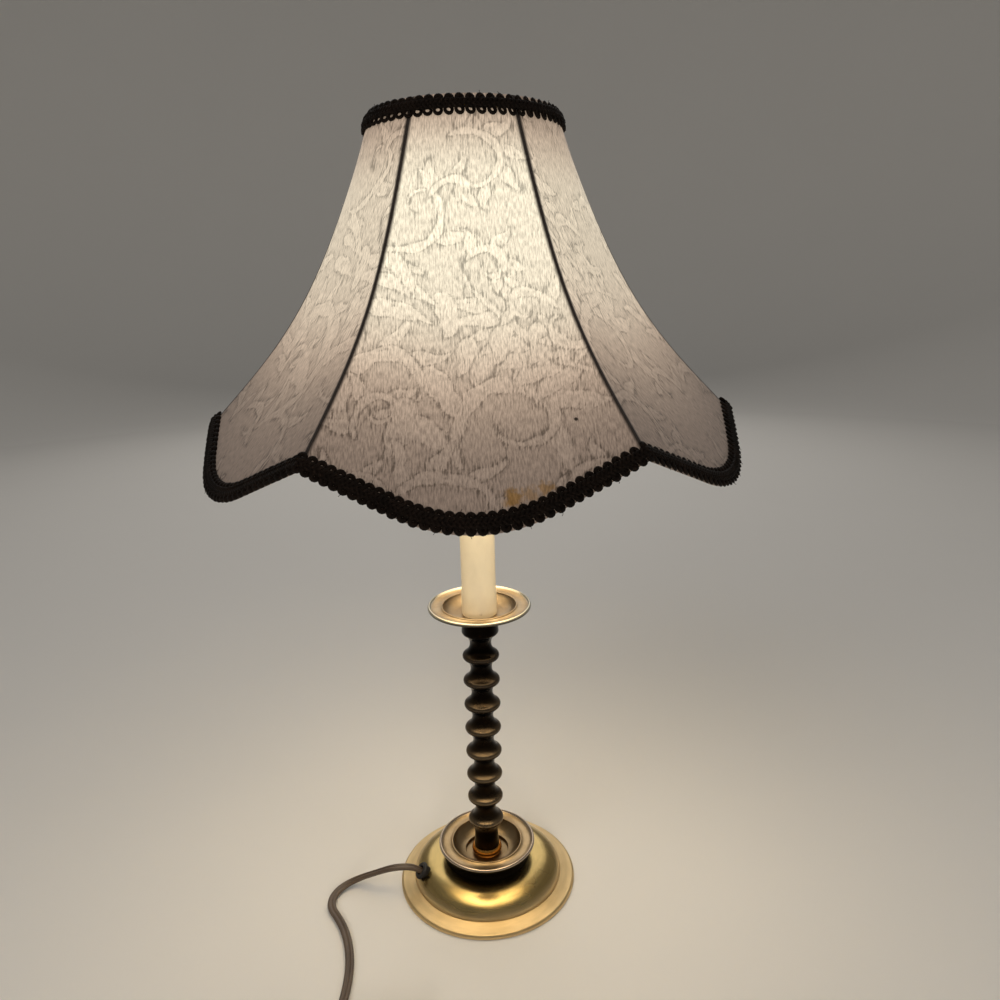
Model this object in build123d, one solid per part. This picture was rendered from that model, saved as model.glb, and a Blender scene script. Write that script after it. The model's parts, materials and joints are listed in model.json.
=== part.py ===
from build123d import *
import math
import os

# Candlestick table lamp with a six-panel bell shade. Millimetres, +Z up.
# The origin is the middle of the face that the lamp stands on, and the front panel of the shade faces -Y.

# Base
FELT_THICKNESS = 1.5
FELT_RIM_GAP = 3.8
BASE_RADIUS = 61.7
BASE_WALL = 1.2
RIM_LIFT = 0.6
RIM_ROLL = 2.0
FLANGE_EDGE_HEIGHT = 3.4
FLANGE_HEIGHT = 5.6
DOME_RADIUS = 52.0
DOME_SHOULDER_RADIUS = 29.5
DOME_HEIGHT = 17.6
WEIGHT_RADIUS = 43.5
WEIGHT_EYE_RADIUS = 20.0
WEIGHT_THICKNESS = 9.0
WEIGHT_SLOT_WIDTH = 7.0
WEIGHT_SLOT_FLOOR = 1.0
CUP_RIM_RADIUS = 33.8
CUP_HEIGHT = 12.7
CUP_FLOOR = 2.4
CUP_NECK_RADIUS = 28.6
CUP_FOOT_RADIUS = 29.4
CUP_STEP_RADIUS = 15.2
CUP_STEP_HEIGHT = 2.2
CUP_STEP_DRAFT = 0.6
CUP_BOWL_SAG = 3.0
FOOT_RING_RADIUS = 10.5
FOOT_RING_HEIGHT = 6.2
FOOT_RING_ROUND = 1.4

# Pipe that clamps the stack, and what is on it
PIPE_RADIUS = 4.8
PIPE_BORE = 3.4
PIPE_CLEARANCE = 0.12
PIPE_BELOW_NUT = 1.2
WASHER_RADIUS = 11.0
WASHER_THICKNESS = 1.3
NUT_ACROSS_FLATS = 14.0
NUT_THICKNESS = 5.2

# Bobbin-turned spindle and drip pan
BEAD_COUNT = 8
BEAD_PITCH = 17.87
BEAD_RADIUS = 12.25
BEAD_ROUND = 2.4
NECK_RADIUS = 7.1
FOOT_NECK_RADIUS = 8.8
FOOT_NECK_TOP_RADIUS = 8.0
FOOT_NECK_LENGTH = 21.3
COLLAR_HEIGHT = 11.1
COLLAR_RADIUS = 11.7
COLLAR_FLARE = 2.4
PAN_RIM_RADIUS = 33.8
PAN_DEPTH = 6.3
PAN_WALL = 1.5
DISH_RING_RADIUS = 24.4
DISH_FLOOR_RADIUS = 15.0
DISH_LIP = 1.3
DISH_SAG = 0.7
DISH_RIDGE = 0.7
PAN_BOWL_SAG = 0.8

# Candle tube, saddle and harp
TUBE_RADIUS = 11.1
TUBE_WALL = 1.3
TUBE_LENGTH = 102.0
SADDLE_THICKNESS = 1.6
SADDLE_WIDTH = 12.0
SADDLE_BEND = 3.0
SADDLE_ARM_HEIGHT = 8.0
TONGUE_WIDTH = 4.4
TONGUE_HEIGHT = 12.0
HARP_WIRE = 1.7
HARP_LEG_X = 25.7
HARP_LEG_GAP = 0.2
HARP_LEG_LIFT = 2.4
HARP_WIDTH = 102.0
HARP_LEG_LENGTH = 42.0
HARP_SHOULDER = 44.0
HARP_SIDE = 45.0
HARP_CROWN = 44.0
HARP_CROWN_WIDTH = 36.0
HARP_LEG_BEND = 40.0
HARP_SIDE_BEND = 60.0
HARP_CROWN_BEND = 24.0
SLEEVE_LENGTH = 12.0
SLEEVE_WALL = 0.9
SLEEVE_CLEARANCE = 0.15
SLEEVE_ROUND = 1.6
SLEEVE_INNER_ROUND = 0.3
STUD_COLLAR_RADIUS = 5.0
STUD_COLLAR_BELOW = 3.4
STUD_COLLAR_ABOVE = 4.5
STUD_RADIUS = 3.1
STUD_LENGTH = 11.5
WIRE_CLEARANCE = 0.05

# Socket with a turn knob
CAP_HUB_RADIUS = 7.5
CAP_HUB_HEIGHT = 6.0
CAP_RADIUS = 17.8
CAP_WALL = 0.8
CAP_DOME_HEIGHT = 10.5
CAP_SKIRT = 7.0
CAP_THREAD = 6.4
SET_SCREW_RADIUS = 1.6
SET_SCREW_LENGTH = 3.2
SET_SCREW_SLOT = 0.6
SHELL_RADIUS = 16.85
SHELL_WALL = 0.6
SHELL_LENGTH = 42.0
SHELL_LIP = 1.2
SHELL_SEAT = 1.0
SHELL_CLEARANCE = 0.12
LINER_WALL = 0.7
CORE_RADIUS = 15.0
CORE_HEIGHT = 19.0
CORE_FLAT = 12.4
TERMINAL_RADIUS = 3.0
TERMINAL_HEAD = 2.0
TERMINAL_SHANK = 1.5
TERMINAL_DEPTH = 4.0
TERMINAL_SLOT = 0.8
SCREW_SHELL_BORE = 13.25
SCREW_SHELL_WALL = 0.5
SCREW_SHELL_LENGTH = 23.0
CONTACT_WIDTH = 6.0
CONTACT_THICKNESS = 0.6
CONTACT_RISE = 2.2
KNOB_HEIGHT_IN_CORE = 9.5
KNOB_SHAFT_RADIUS = 1.9
KNOB_SHAFT_CLEARANCE = 0.08
KNOB_HOLE_RADIUS = 3.0
KNOB_SHAFT_DEPTH = 13.0
KNOB_GAP = 4.0
KNOB_RADIUS = 6.5
KNOB_LENGTH = 13.0
KNOB_SOCKET = 5.0
KNOB_FLUTES = 12
KNOB_FLUTE_RADIUS = 1.1

# Bulb
BULB_TIP_GAP = 0.3
BULB_TIP_HEIGHT = 2.0
BULB_TIP_RADIUS = 4.6
BULB_TIP_MARGIN = 0.8
BULB_INSULATOR_HEIGHT = 4.0
BULB_CAP_RADIUS = 13.0
BULB_CAP_WALL = 0.6
BULB_CAP_LENGTH = 20.0
BULB_THREAD_PITCH = 3.6
BULB_THREAD_DEPTH = 0.9
BULB_NECK_RADIUS = 14.2
BULB_NECK_SAG = 2.0
BULB_HOUSING_HEIGHT = 33.0
BULB_RADIUS = 29.5
BULB_DOME_HEIGHT = 41.0
BULB_DOME_WALL = 1.2
BULB_BOARD_THICKNESS = 2.0

# Shade: rib radius = top radius + slope * drop + flare / (1 + exp((flare_drop - drop) / flare_spread))
SHADE_SIDES = 6
SHADE_RECESS = 14.0
SHADE_TOP_RADIUS = 50.6
SHADE_SLOPE = 0.382
SHADE_FLARE = 73.3
SHADE_FLARE_DROP = 160.0
SHADE_FLARE_SPREAD = 30.5
SHADE_CORNER_DROP = 171.5
SHADE_LOWEST_DROP = 207.0
SHADE_ROUND_DROP = 12.0
SHADE_FACET_DROP = 110.0
SHADE_LEAST_BULGE = 0.6
SHADE_SECTIONS = 11
SCALLOP_SLOPE = 0.425
SCALLOP_ROUND = 88.0
FABRIC_THICKNESS = 1.0
SEAM_GAP = 0.15
TRIM_WIDTH = 11.5
TRIM_THICKNESS = 2.2
TRIM_GAP = 0.06
TRIM_OVERHANG = 1.5
FRAME_WIRE = 1.4
FRAME_GAP = 0.35
WIRE_SLANT = 1.25
RIB_TOP_GAP = 2.2
RIB_FOOT_GAP = 3.0
RIB_POINTS = 9
HEM_END_GAP = 3.6
HEM_POINTS = 11
RING_WIRE = 1.5
SPIDER_WASHER_RADIUS = 11.0
SPIDER_WASHER_THICKNESS = 1.2
SPIDER_HOLE_GAP = 0.3
SPIDER_ARMS = 3
SPIDER_ARM_WIRE = 1.5
SPIDER_AZIMUTH = 30.0
SPIDER_WELD = 2.4
SPIDER_FLAT = 6.0
SPIDER_END = 8.0
SPIDER_BEND = 10.0
FINIAL_HEIGHT = 19.5
FINIAL_RADIUS = 7.0
FINIAL_BALL = 5.6
FINIAL_NECK = 3.4
FINIAL_WAIST = 4.1
FINIAL_FOOT = 2.2
FINIAL_BORE_END = 0.4
FINIAL_CLEARANCE = 0.05

# Cord: flat twin lead, with a round tube of like section as its solid
CORD_DIAMETER = 4.4
CORD_LIFT = 0.15
CORD_EXIT = 8.5
CORD_ARC_SHARE = 0.45
LEAD_EXIT = 4.0
LEAD_SLOT_REACH = 30.0
LEAD_SLOT_RISE = 1.8
LEAD_MOUTH_REACH = 10.0
LEAD_MOUTH_RISE = 0.3
LEAD_TURN_RISE = 0.5
BUSHING_AZIMUTH = 195.0
BUSHING_REACH = 46.2
BUSHING_TILT = 42.0
BUSHING_RADIUS = 4.5
BUSHING_BORE = 3.1
BUSHING_INSIDE = 2.5
BUSHING_STANDOFF = 1.9
BUSHING_FLANGE = 5.8
BUSHING_FLANGE_THICKNESS = 1.7
BUSHING_CHAMFER = 0.8
BUSHING_HOLE_GAP = 0.05
COIL_CENTRE = (-57.0, -168.0)
COIL_INNER_RADIUS = 23.5
COIL_STEP = 5.6
COIL_TURNS_IN = 3.5
COIL_TURNS_CLIMB = 0.5
COIL_TURNS_OUT = 3.25
COIL_LOW = 3.7
COIL_LAYER = 6.0
COIL_TAIL = 34.0
COIL_LEAD = 14.0
COIL_SPOTS = 900
TIE_AZIMUTH = 60.0
TIE_WIDTH = 7.0
TIE_THICKNESS = 0.8
TIE_GAP = 0.4
TIE_SIDE_GAP = 0.8
TIE_ROUND = 2.0
PLUG_WIDTH = 24.0
PLUG_THICKNESS = 15.0
PLUG_LENGTH = 32.0
PLUG_RELIEF = 18.0
PLUG_RELIEF_RADIUS = 3.6
PLUG_RELIEF_END = 5.4
PLUG_CORNER = 5.0
BLADE_THICKNESS = 1.5
BLADE_WIDTH = 6.3
BLADE_LENGTH = 17.0
BLADE_SPACING = 12.7
BLADE_ROOT = 6.0

# Heights of the stack, from the floor up
felt_radius = BASE_RADIUS - BASE_WALL - FELT_RIM_GAP
weight_top = FELT_THICKNESS + WEIGHT_THICKNESS
dome_under = DOME_HEIGHT - BASE_WALL
nut_top = dome_under - WASHER_THICKNESS
nut_bottom = nut_top - NUT_THICKNESS
pipe_bottom = nut_bottom - PIPE_BELOW_NUT
cup_rim = DOME_HEIGHT + CUP_HEIGHT
cup_floor = DOME_HEIGHT + CUP_FLOOR
spindle_bottom = cup_floor + FOOT_RING_HEIGHT
lowest_bead = spindle_bottom + FOOT_NECK_LENGTH
highest_bead = lowest_bead + (BEAD_COUNT - 1) * BEAD_PITCH
spindle_top = highest_bead + BEAD_PITCH + COLLAR_HEIGHT
pan_floor = spindle_top + PAN_WALL
pan_rim = pan_floor + PAN_DEPTH
tube_top = pan_floor + TUBE_LENGTH
saddle_top = tube_top + SADDLE_THICKNESS
arm_top = saddle_top + SADDLE_ARM_HEIGHT
tongue_top = arm_top + TONGUE_HEIGHT
cap_top = saddle_top + CAP_HUB_HEIGHT + CAP_DOME_HEIGHT + CAP_SKIRT
pipe_top = saddle_top + CAP_THREAD
shell_bottom = cap_top - CAP_SKIRT + SHELL_SEAT
shell_top = shell_bottom + SHELL_LENGTH
core_bottom = shell_bottom
core_top = core_bottom + CORE_HEIGHT
knob_height = core_bottom + KNOB_HEIGHT_IN_CORE
screw_shell_top = core_top + SCREW_SHELL_LENGTH
bulb_tip = core_top + CONTACT_RISE + CONTACT_THICKNESS + BULB_TIP_GAP
bulb_cap_bottom = bulb_tip + BULB_TIP_HEIGHT + BULB_INSULATOR_HEIGHT
bulb_cap_top = bulb_cap_bottom + BULB_CAP_LENGTH
bulb_dome_bottom = bulb_cap_top + BULB_HOUSING_HEIGHT
harp_bottom = saddle_top + HARP_LEG_LIFT
harp_crown = harp_bottom + HARP_LEG_LENGTH + HARP_SHOULDER + HARP_SIDE + HARP_CROWN
stud_seat = harp_crown + STUD_COLLAR_ABOVE
washer_top = stud_seat + SPIDER_WASHER_THICKNESS
shade_top = stud_seat + SHADE_RECESS

half_side = math.pi / SHADE_SIDES
panel_names = ["front", "front_right", "back_right", "back", "back_left", "front_left"]
pipe_hole = PIPE_RADIUS + PIPE_CLEARANCE
ridge_outside = DISH_RING_RADIUS + DISH_RIDGE
ridge_inside = DISH_RING_RADIUS - DISH_RIDGE


def turned(*edges):
    """Solid of revolution about Z from a closed outline of (radius, height) edges."""
    return revolve(Plane.XZ * make_face(Curve() + list(edges)), Axis.Z)


def ring_solid(inner, outer, bottom, top):
    """Plain ring with a round hole."""
    outline = Polyline((inner, bottom), (outer, bottom), (outer, top), (inner, top), close=True)
    return turned(outline)


def biarc(start, start_way, end, end_way):
    """Two tangent arcs from one point and heading to another."""
    chord = end - start
    along = chord.dot(start_way + end_way)
    bend = 2 * (1 - start_way.dot(end_way))
    reach = chord.dot(chord) / (2 * along)
    if bend > 1e-9:
        reach = (math.sqrt(along * along + bend * chord.dot(chord)) - along) / bend
    first = start + start_way * reach
    second = end - end_way * reach
    middle = (first + second) * 0.5
    middle_way = (second - first).normalized()
    edges = []
    for near, way, far in ((start, start_way, middle), (middle, middle_way, end)):
        if way.cross((far - near).normalized()).length < 1e-6:
            edges.append(Line(near, far))
        else:
            edges.append(TangentArc(near, far, tangent=way))
    return edges


def headings(points, first=None, last=None):
    """Heading at each point of a smooth line, from its neighbours."""
    count = len(points)
    ways = [(points[min(i + 1, count - 1)] - points[max(i - 1, 0)]).normalized() for i in range(count)]
    ways[0] = first or ways[0]
    ways[-1] = last or ways[-1]
    return ways


def wire_along(points, ways):
    """One unbroken line of arcs through points with given headings."""
    edges = []
    for i in range(len(points) - 1):
        edges += biarc(points[i], ways[i], points[i + 1], ways[i + 1])
    return Wire(edges)


def round_bar(path, start, way, radius):
    """Round bar swept along a line."""
    return sweep(Plane(origin=start, z_dir=way) * Circle(radius), path=path)


def base_felt():
    return Cylinder(felt_radius, FELT_THICKNESS, align=(Align.CENTER, Align.CENTER, Align.MIN))


def base_weight():
    body = ring_solid(WEIGHT_EYE_RADIUS, WEIGHT_RADIUS, FELT_THICKNESS, weight_top)
    slot_depth = weight_top - FELT_THICKNESS - WEIGHT_SLOT_FLOOR
    slot = Box(WEIGHT_RADIUS, WEIGHT_SLOT_WIDTH, slot_depth, align=(Align.MIN, Align.CENTER, Align.MAX))
    slot = Rot(0, 0, BUSHING_AZIMUTH) * Pos(WEIGHT_EYE_RADIUS / 2, 0, weight_top) * slot
    return body - slot


def dome_height_at(radius):
    """Height of the dome's outer face, a quarter of an ellipse."""
    share = (radius - DOME_SHOULDER_RADIUS) / (DOME_RADIUS - DOME_SHOULDER_RADIUS)
    return FLANGE_HEIGHT + (DOME_HEIGHT - FLANGE_HEIGHT) * math.sqrt(1 - share * share)


bushing_turn = math.radians(BUSHING_AZIMUTH)
bushing_rise = math.radians(BUSHING_TILT)
bushing_way = Vector(
    math.cos(bushing_rise) * math.cos(bushing_turn),
    math.cos(bushing_rise) * math.sin(bushing_turn),
    math.sin(bushing_rise),
)
bushing_point = Vector(
    BUSHING_REACH * math.cos(bushing_turn),
    BUSHING_REACH * math.sin(bushing_turn),
    dome_height_at(BUSHING_REACH),
)
bushing_plane = Plane(origin=bushing_point, z_dir=bushing_way)


def base_shell():
    """Spun brass foot: rolled rim, flange and dome in one sheet."""
    spread = DOME_RADIUS - DOME_SHOULDER_RADIUS
    rise = DOME_HEIGHT - FLANGE_HEIGHT
    roll_x = BASE_RADIUS - RIM_ROLL
    roll_z = FLANGE_EDGE_HEIGHT - RIM_ROLL
    inner_roll = RIM_ROLL - BASE_WALL
    centre = (DOME_SHOULDER_RADIUS, FLANGE_HEIGHT)
    inner_dome = DOME_RADIUS - BASE_WALL
    outline = [
        Line((pipe_hole, DOME_HEIGHT), (DOME_SHOULDER_RADIUS, DOME_HEIGHT)),
        EllipticalCenterArc(centre, spread, rise, 0, arc_size=90),
        Line((DOME_RADIUS, FLANGE_HEIGHT), (roll_x, FLANGE_EDGE_HEIGHT)),
        CenterArc((roll_x, roll_z), RIM_ROLL, 0, 90),
        Line((BASE_RADIUS, roll_z), (BASE_RADIUS, RIM_LIFT)),
        Line((BASE_RADIUS, RIM_LIFT), (BASE_RADIUS - BASE_WALL, RIM_LIFT)),
        Line((BASE_RADIUS - BASE_WALL, RIM_LIFT), (BASE_RADIUS - BASE_WALL, roll_z)),
        CenterArc((roll_x, roll_z), inner_roll, 0, 90),
        Line((roll_x, roll_z + inner_roll), (inner_dome, FLANGE_HEIGHT - BASE_WALL)),
        Line((inner_dome, FLANGE_HEIGHT - BASE_WALL), (inner_dome, FLANGE_HEIGHT)),
        EllipticalCenterArc(centre, spread - BASE_WALL, rise - BASE_WALL, 0, arc_size=90),
        Line((DOME_SHOULDER_RADIUS, dome_under), (pipe_hole, dome_under)),
        Line((pipe_hole, dome_under), (pipe_hole, DOME_HEIGHT)),
    ]
    hole = Cylinder(BUSHING_RADIUS + BUSHING_HOLE_GAP, 4 * BUSHING_RADIUS)
    return turned(*outline) - bushing_plane * hole


def base_cup():
    """Cast cup on the dome, with a dished rim like the drip pan's."""
    lip = cup_rim - DISH_LIP
    ring = lip - DISH_SAG
    step = cup_floor + CUP_STEP_HEIGHT
    floor_radius = CUP_STEP_RADIUS - CUP_STEP_DRAFT
    outer = CUP_RIM_RADIUS - DISH_LIP
    outline = [
        Line((pipe_hole, DOME_HEIGHT), (CUP_FOOT_RADIUS, DOME_HEIGHT)),
        ThreePointArc(
            (CUP_FOOT_RADIUS, DOME_HEIGHT),
            (CUP_NECK_RADIUS, (DOME_HEIGHT + lip) / 2),
            (CUP_RIM_RADIUS - 2 * DISH_LIP, lip - DISH_LIP),
        ),
        Line((CUP_RIM_RADIUS - 2 * DISH_LIP, lip - DISH_LIP), (outer, lip - DISH_LIP)),
        ThreePointArc((outer, lip - DISH_LIP), (CUP_RIM_RADIUS, lip), (outer, cup_rim)),
        ThreePointArc((outer, cup_rim), ((outer + DISH_RING_RADIUS) / 2, ring), (ridge_outside, lip)),
        ThreePointArc((ridge_outside, lip), (DISH_RING_RADIUS, lip + DISH_RIDGE), (ridge_inside, lip)),
        ThreePointArc(
            (ridge_inside, lip),
            (DISH_RING_RADIUS - CUP_BOWL_SAG, (lip + step) / 2),
            (CUP_STEP_RADIUS, step),
        ),
        Line((CUP_STEP_RADIUS, step), (floor_radius, cup_floor)),
        Line((floor_radius, cup_floor), (pipe_hole, cup_floor)),
        Line((pipe_hole, cup_floor), (pipe_hole, DOME_HEIGHT)),
    ]
    return turned(*outline)


def foot_ring():
    inset = FOOT_RING_RADIUS - FOOT_RING_ROUND
    outline = [
        Line((pipe_hole, cup_floor), (inset, cup_floor)),
        ThreePointArc(
            (inset, cup_floor),
            (FOOT_RING_RADIUS, cup_floor + FOOT_RING_HEIGHT / 2),
            (inset, spindle_bottom),
        ),
        Line((inset, spindle_bottom), (pipe_hole, spindle_bottom)),
        Line((pipe_hole, spindle_bottom), (pipe_hole, cup_floor)),
    ]
    return turned(*outline)


def spindle():
    """Bobbin-turned column: round-nosed beads and hollow necks in tangent arcs, and a collar."""
    half_pitch = BEAD_PITCH / 2
    bead_x = BEAD_RADIUS - BEAD_ROUND
    gap = bead_x - NECK_RADIUS
    hollow = (half_pitch ** 2 + gap ** 2 - BEAD_ROUND ** 2) / (2 * (BEAD_ROUND + gap))
    share = BEAD_ROUND / (BEAD_ROUND + hollow)
    meet_x = bead_x + (NECK_RADIUS + hollow - bead_x) * share
    meet_z = half_pitch * share
    neck_end = (FOOT_NECK_TOP_RADIUS, lowest_bead - half_pitch)
    outline = [
        Line((pipe_hole, spindle_bottom), (FOOT_NECK_RADIUS, spindle_bottom)),
        Line((FOOT_NECK_RADIUS, spindle_bottom), neck_end),
        TangentArc(neck_end, (meet_x, lowest_bead - meet_z), tangent=(0, 1)),
    ]
    for i in range(BEAD_COUNT):
        z = lowest_bead + i * BEAD_PITCH
        above = (meet_x, z + meet_z)
        outline.append(ThreePointArc((meet_x, z - meet_z), (BEAD_RADIUS, z), above))
        outline.append(
            ThreePointArc(above, (NECK_RADIUS, z + half_pitch), (meet_x, z + BEAD_PITCH - meet_z))
        )
    collar = highest_bead + BEAD_PITCH
    lean = math.atan2(meet_z, meet_x - bead_x) / 2
    shoulder = (bead_x + BEAD_ROUND * math.cos(lean), collar - BEAD_ROUND * math.sin(lean))
    outline += [
        ThreePointArc((meet_x, collar - meet_z), shoulder, (BEAD_RADIUS, collar)),
        Line((BEAD_RADIUS, collar), (COLLAR_RADIUS, spindle_top - COLLAR_FLARE)),
        Line((COLLAR_RADIUS, spindle_top - COLLAR_FLARE), (COLLAR_RADIUS + COLLAR_FLARE, spindle_top)),
        Line((COLLAR_RADIUS + COLLAR_FLARE, spindle_top), (pipe_hole, spindle_top)),
        Line((pipe_hole, spindle_top), (pipe_hole, spindle_bottom)),
    ]
    return turned(*outline)


def drip_pan():
    """Shallow spun dish: raised lip, sagging ring and a bowl that the candle tube stands in."""
    lip = pan_rim - DISH_LIP
    outer = PAN_RIM_RADIUS - DISH_LIP
    middle = (outer + DISH_RING_RADIUS) / 2
    bowl = (DISH_RING_RADIUS + DISH_FLOOR_RADIUS) / 2
    under_lip = lip - DISH_LIP
    outline = [
        Line((pipe_hole, spindle_top), (DISH_FLOOR_RADIUS, spindle_top)),
        ThreePointArc(
            (DISH_FLOOR_RADIUS, spindle_top),
            (bowl + 2 * PAN_BOWL_SAG, (spindle_top + under_lip - PAN_WALL) / 2),
            (DISH_RING_RADIUS + PAN_WALL, under_lip - PAN_WALL / 2),
        ),
        Line((DISH_RING_RADIUS + PAN_WALL, under_lip - PAN_WALL / 2), (outer, under_lip)),
        ThreePointArc((outer, under_lip), (PAN_RIM_RADIUS, lip), (outer, pan_rim)),
        ThreePointArc((outer, pan_rim), (middle, lip - DISH_SAG), (ridge_outside, lip)),
        ThreePointArc((ridge_outside, lip), (DISH_RING_RADIUS, lip + DISH_RIDGE), (ridge_inside, lip)),
        ThreePointArc(
            (ridge_inside, lip),
            (bowl + PAN_BOWL_SAG, (pan_floor + lip) / 2 - PAN_BOWL_SAG),
            (DISH_FLOOR_RADIUS, pan_floor),
        ),
        Line((DISH_FLOOR_RADIUS, pan_floor), (pipe_hole, pan_floor)),
        Line((pipe_hole, pan_floor), (pipe_hole, spindle_top)),
    ]
    return turned(*outline)


def base_nut():
    outline = RegularPolygon(NUT_ACROSS_FLATS / 2, 6, major_radius=False) - Circle(pipe_hole)
    return Pos(0, 0, nut_bottom) * extrude(outline, NUT_THICKNESS)


def harp_saddle():
    """Bent strip across the pipe, with a narrow tongue at the top of each arm."""
    inside = HARP_LEG_X + HARP_WIRE + HARP_LEG_GAP
    outside = inside + SADDLE_THICKNESS
    path = FilletPolyline(
        (-outside, tongue_top),
        (-outside, tube_top),
        (outside, tube_top),
        (outside, tongue_top),
        radius=SADDLE_BEND,
    )
    inner = FilletPolyline(
        (inside, tongue_top),
        (inside, saddle_top),
        (-inside, saddle_top),
        (-inside, tongue_top),
        radius=SADDLE_BEND - SADDLE_THICKNESS,
    )
    ends = [
        Line((outside, tongue_top), (inside, tongue_top)),
        Line((-inside, tongue_top), (-outside, tongue_top)),
    ]
    strip = extrude(Plane.XZ * make_face(Curve() + [path, inner] + ends), SADDLE_WIDTH / 2, both=True)
    side = (SADDLE_WIDTH - TONGUE_WIDTH) / 2
    notch = Box(4 * outside, side, 2 * TONGUE_HEIGHT, align=(Align.CENTER, Align.MIN, Align.MIN))
    strip -= Pos(0, TONGUE_WIDTH / 2, arm_top) * notch
    strip -= Pos(0, -TONGUE_WIDTH / 2 - side, arm_top) * notch
    return strip - Pos(0, 0, saddle_top) * Cylinder(pipe_hole, 4 * SADDLE_THICKNESS)


def harp_bow():
    """Sprung wire bow from leg to leg over the bulb."""
    half_width = HARP_WIDTH / 2
    elbow = harp_bottom + HARP_LEG_LENGTH
    shoulder = elbow + HARP_SHOULDER
    top_of_side = shoulder + HARP_SIDE
    right = [
        (HARP_CROWN_WIDTH / 2, harp_crown),
        (half_width, top_of_side),
        (half_width, shoulder),
        (HARP_LEG_X, elbow),
        (HARP_LEG_X, harp_bottom),
    ]
    left = [(-x, z) for x, z in reversed(right)]
    bends = [HARP_LEG_BEND, HARP_SIDE_BEND, HARP_SIDE_BEND, HARP_CROWN_BEND]
    points = [Vector(x, 0, z) for x, z in left + right]
    path = FilletPolyline(*points, radius=bends + bends[::-1])
    return round_bar(path, points[0], Vector(0, 0, 1), HARP_WIRE)


def harp_stud():
    """Crown collar pinched on the bow, with the stud that the shade turns on."""
    bottom = harp_crown - STUD_COLLAR_BELOW
    collar = ring_solid(0, STUD_COLLAR_RADIUS, bottom, stud_seat)
    stud = ring_solid(0, STUD_RADIUS, stud_seat, stud_seat + STUD_LENGTH)
    hole = Cylinder(HARP_WIRE + WIRE_CLEARANCE, 4 * STUD_COLLAR_RADIUS, rotation=(0, 90, 0))
    return collar + stud - Pos(0, 0, harp_crown) * hole


def harp_sleeve(side):
    """Sliding ferrule that locks a harp leg to a saddle tongue."""
    near = HARP_LEG_X - HARP_WIRE - SLEEVE_CLEARANCE
    far = HARP_LEG_X + HARP_WIRE + HARP_LEG_GAP + SADDLE_THICKNESS + SLEEVE_CLEARANCE
    length = far - near
    width = TONGUE_WIDTH + 2 * SLEEVE_CLEARANCE
    outer = RectangleRounded(length + 2 * SLEEVE_WALL, width + 2 * SLEEVE_WALL, SLEEVE_ROUND)
    inner = RectangleRounded(length, width, SLEEVE_INNER_ROUND)
    return Pos(side * (near + far) / 2, 0, arm_top) * extrude(outer - inner, SLEEVE_LENGTH)


def socket_cap():
    """Spun cap: a threaded hub, a dome and a skirt that takes the shell."""
    hub_top = saddle_top + CAP_HUB_HEIGHT
    skirt = cap_top - CAP_SKIRT
    inner = CAP_RADIUS - CAP_WALL
    foot = (CAP_HUB_RADIUS, skirt)
    reach = CAP_RADIUS - CAP_HUB_RADIUS
    outline = [
        Line((pipe_hole, saddle_top), (CAP_HUB_RADIUS, saddle_top)),
        Line((CAP_HUB_RADIUS, saddle_top), (CAP_HUB_RADIUS, hub_top)),
        EllipticalCenterArc(foot, reach, CAP_DOME_HEIGHT, -90, arc_size=90),
        Line((CAP_RADIUS, skirt), (CAP_RADIUS, cap_top)),
        Line((CAP_RADIUS, cap_top), (inner, cap_top)),
        Line((inner, cap_top), (inner, skirt)),
        EllipticalCenterArc(foot, reach - CAP_WALL, CAP_DOME_HEIGHT - CAP_WALL, -90, arc_size=90),
        Line((CAP_HUB_RADIUS, hub_top + CAP_WALL), (pipe_hole, hub_top + CAP_WALL)),
        Line((pipe_hole, hub_top + CAP_WALL), (pipe_hole, saddle_top)),
    ]
    hole = Cylinder(SET_SCREW_RADIUS, 2 * CAP_HUB_RADIUS, align=(Align.CENTER, Align.CENTER, Align.MIN))
    place = Plane(origin=(0, 0, saddle_top + CAP_HUB_HEIGHT / 2), z_dir=(0, 1, 0))
    return turned(*outline) - place * hole


def socket_set_screw():
    place = Plane(origin=(0, pipe_hole, saddle_top + CAP_HUB_HEIGHT / 2), z_dir=(0, 1, 0))
    screw = Cylinder(
        SET_SCREW_RADIUS - WIRE_CLEARANCE,
        SET_SCREW_LENGTH,
        align=(Align.CENTER, Align.CENTER, Align.MIN),
    )
    slot = Pos(0, 0, SET_SCREW_LENGTH) * Box(4 * SET_SCREW_RADIUS, SET_SCREW_SLOT, 2 * SET_SCREW_SLOT)
    return place * (screw - slot)


def knob_hole(radius):
    """Cutter for the switch shaft, out through the front of the socket."""
    place = Plane(origin=(0, 0, knob_height), z_dir=(0, -1, 0))
    return place * Cylinder(radius, 2 * CAP_RADIUS, align=(Align.CENTER, Align.CENTER, Align.MIN))


def socket_shell():
    inner = SHELL_RADIUS - SHELL_WALL
    lip = inner - SHELL_LIP
    outline = Polyline(
        (inner, shell_bottom),
        (SHELL_RADIUS, shell_bottom),
        (SHELL_RADIUS, shell_top),
        (lip, shell_top),
        (lip, shell_top - SHELL_WALL),
        (inner, shell_top - SHELL_WALL),
        close=True,
    )
    return turned(outline) - knob_hole(KNOB_HOLE_RADIUS)


liner_outer = SHELL_RADIUS - SHELL_WALL - SHELL_CLEARANCE


def socket_liner():
    top = shell_top - SHELL_WALL - SHELL_CLEARANCE
    tube = ring_solid(liner_outer - LINER_WALL, liner_outer, shell_bottom, top)
    return tube - knob_hole(KNOB_HOLE_RADIUS)


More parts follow.
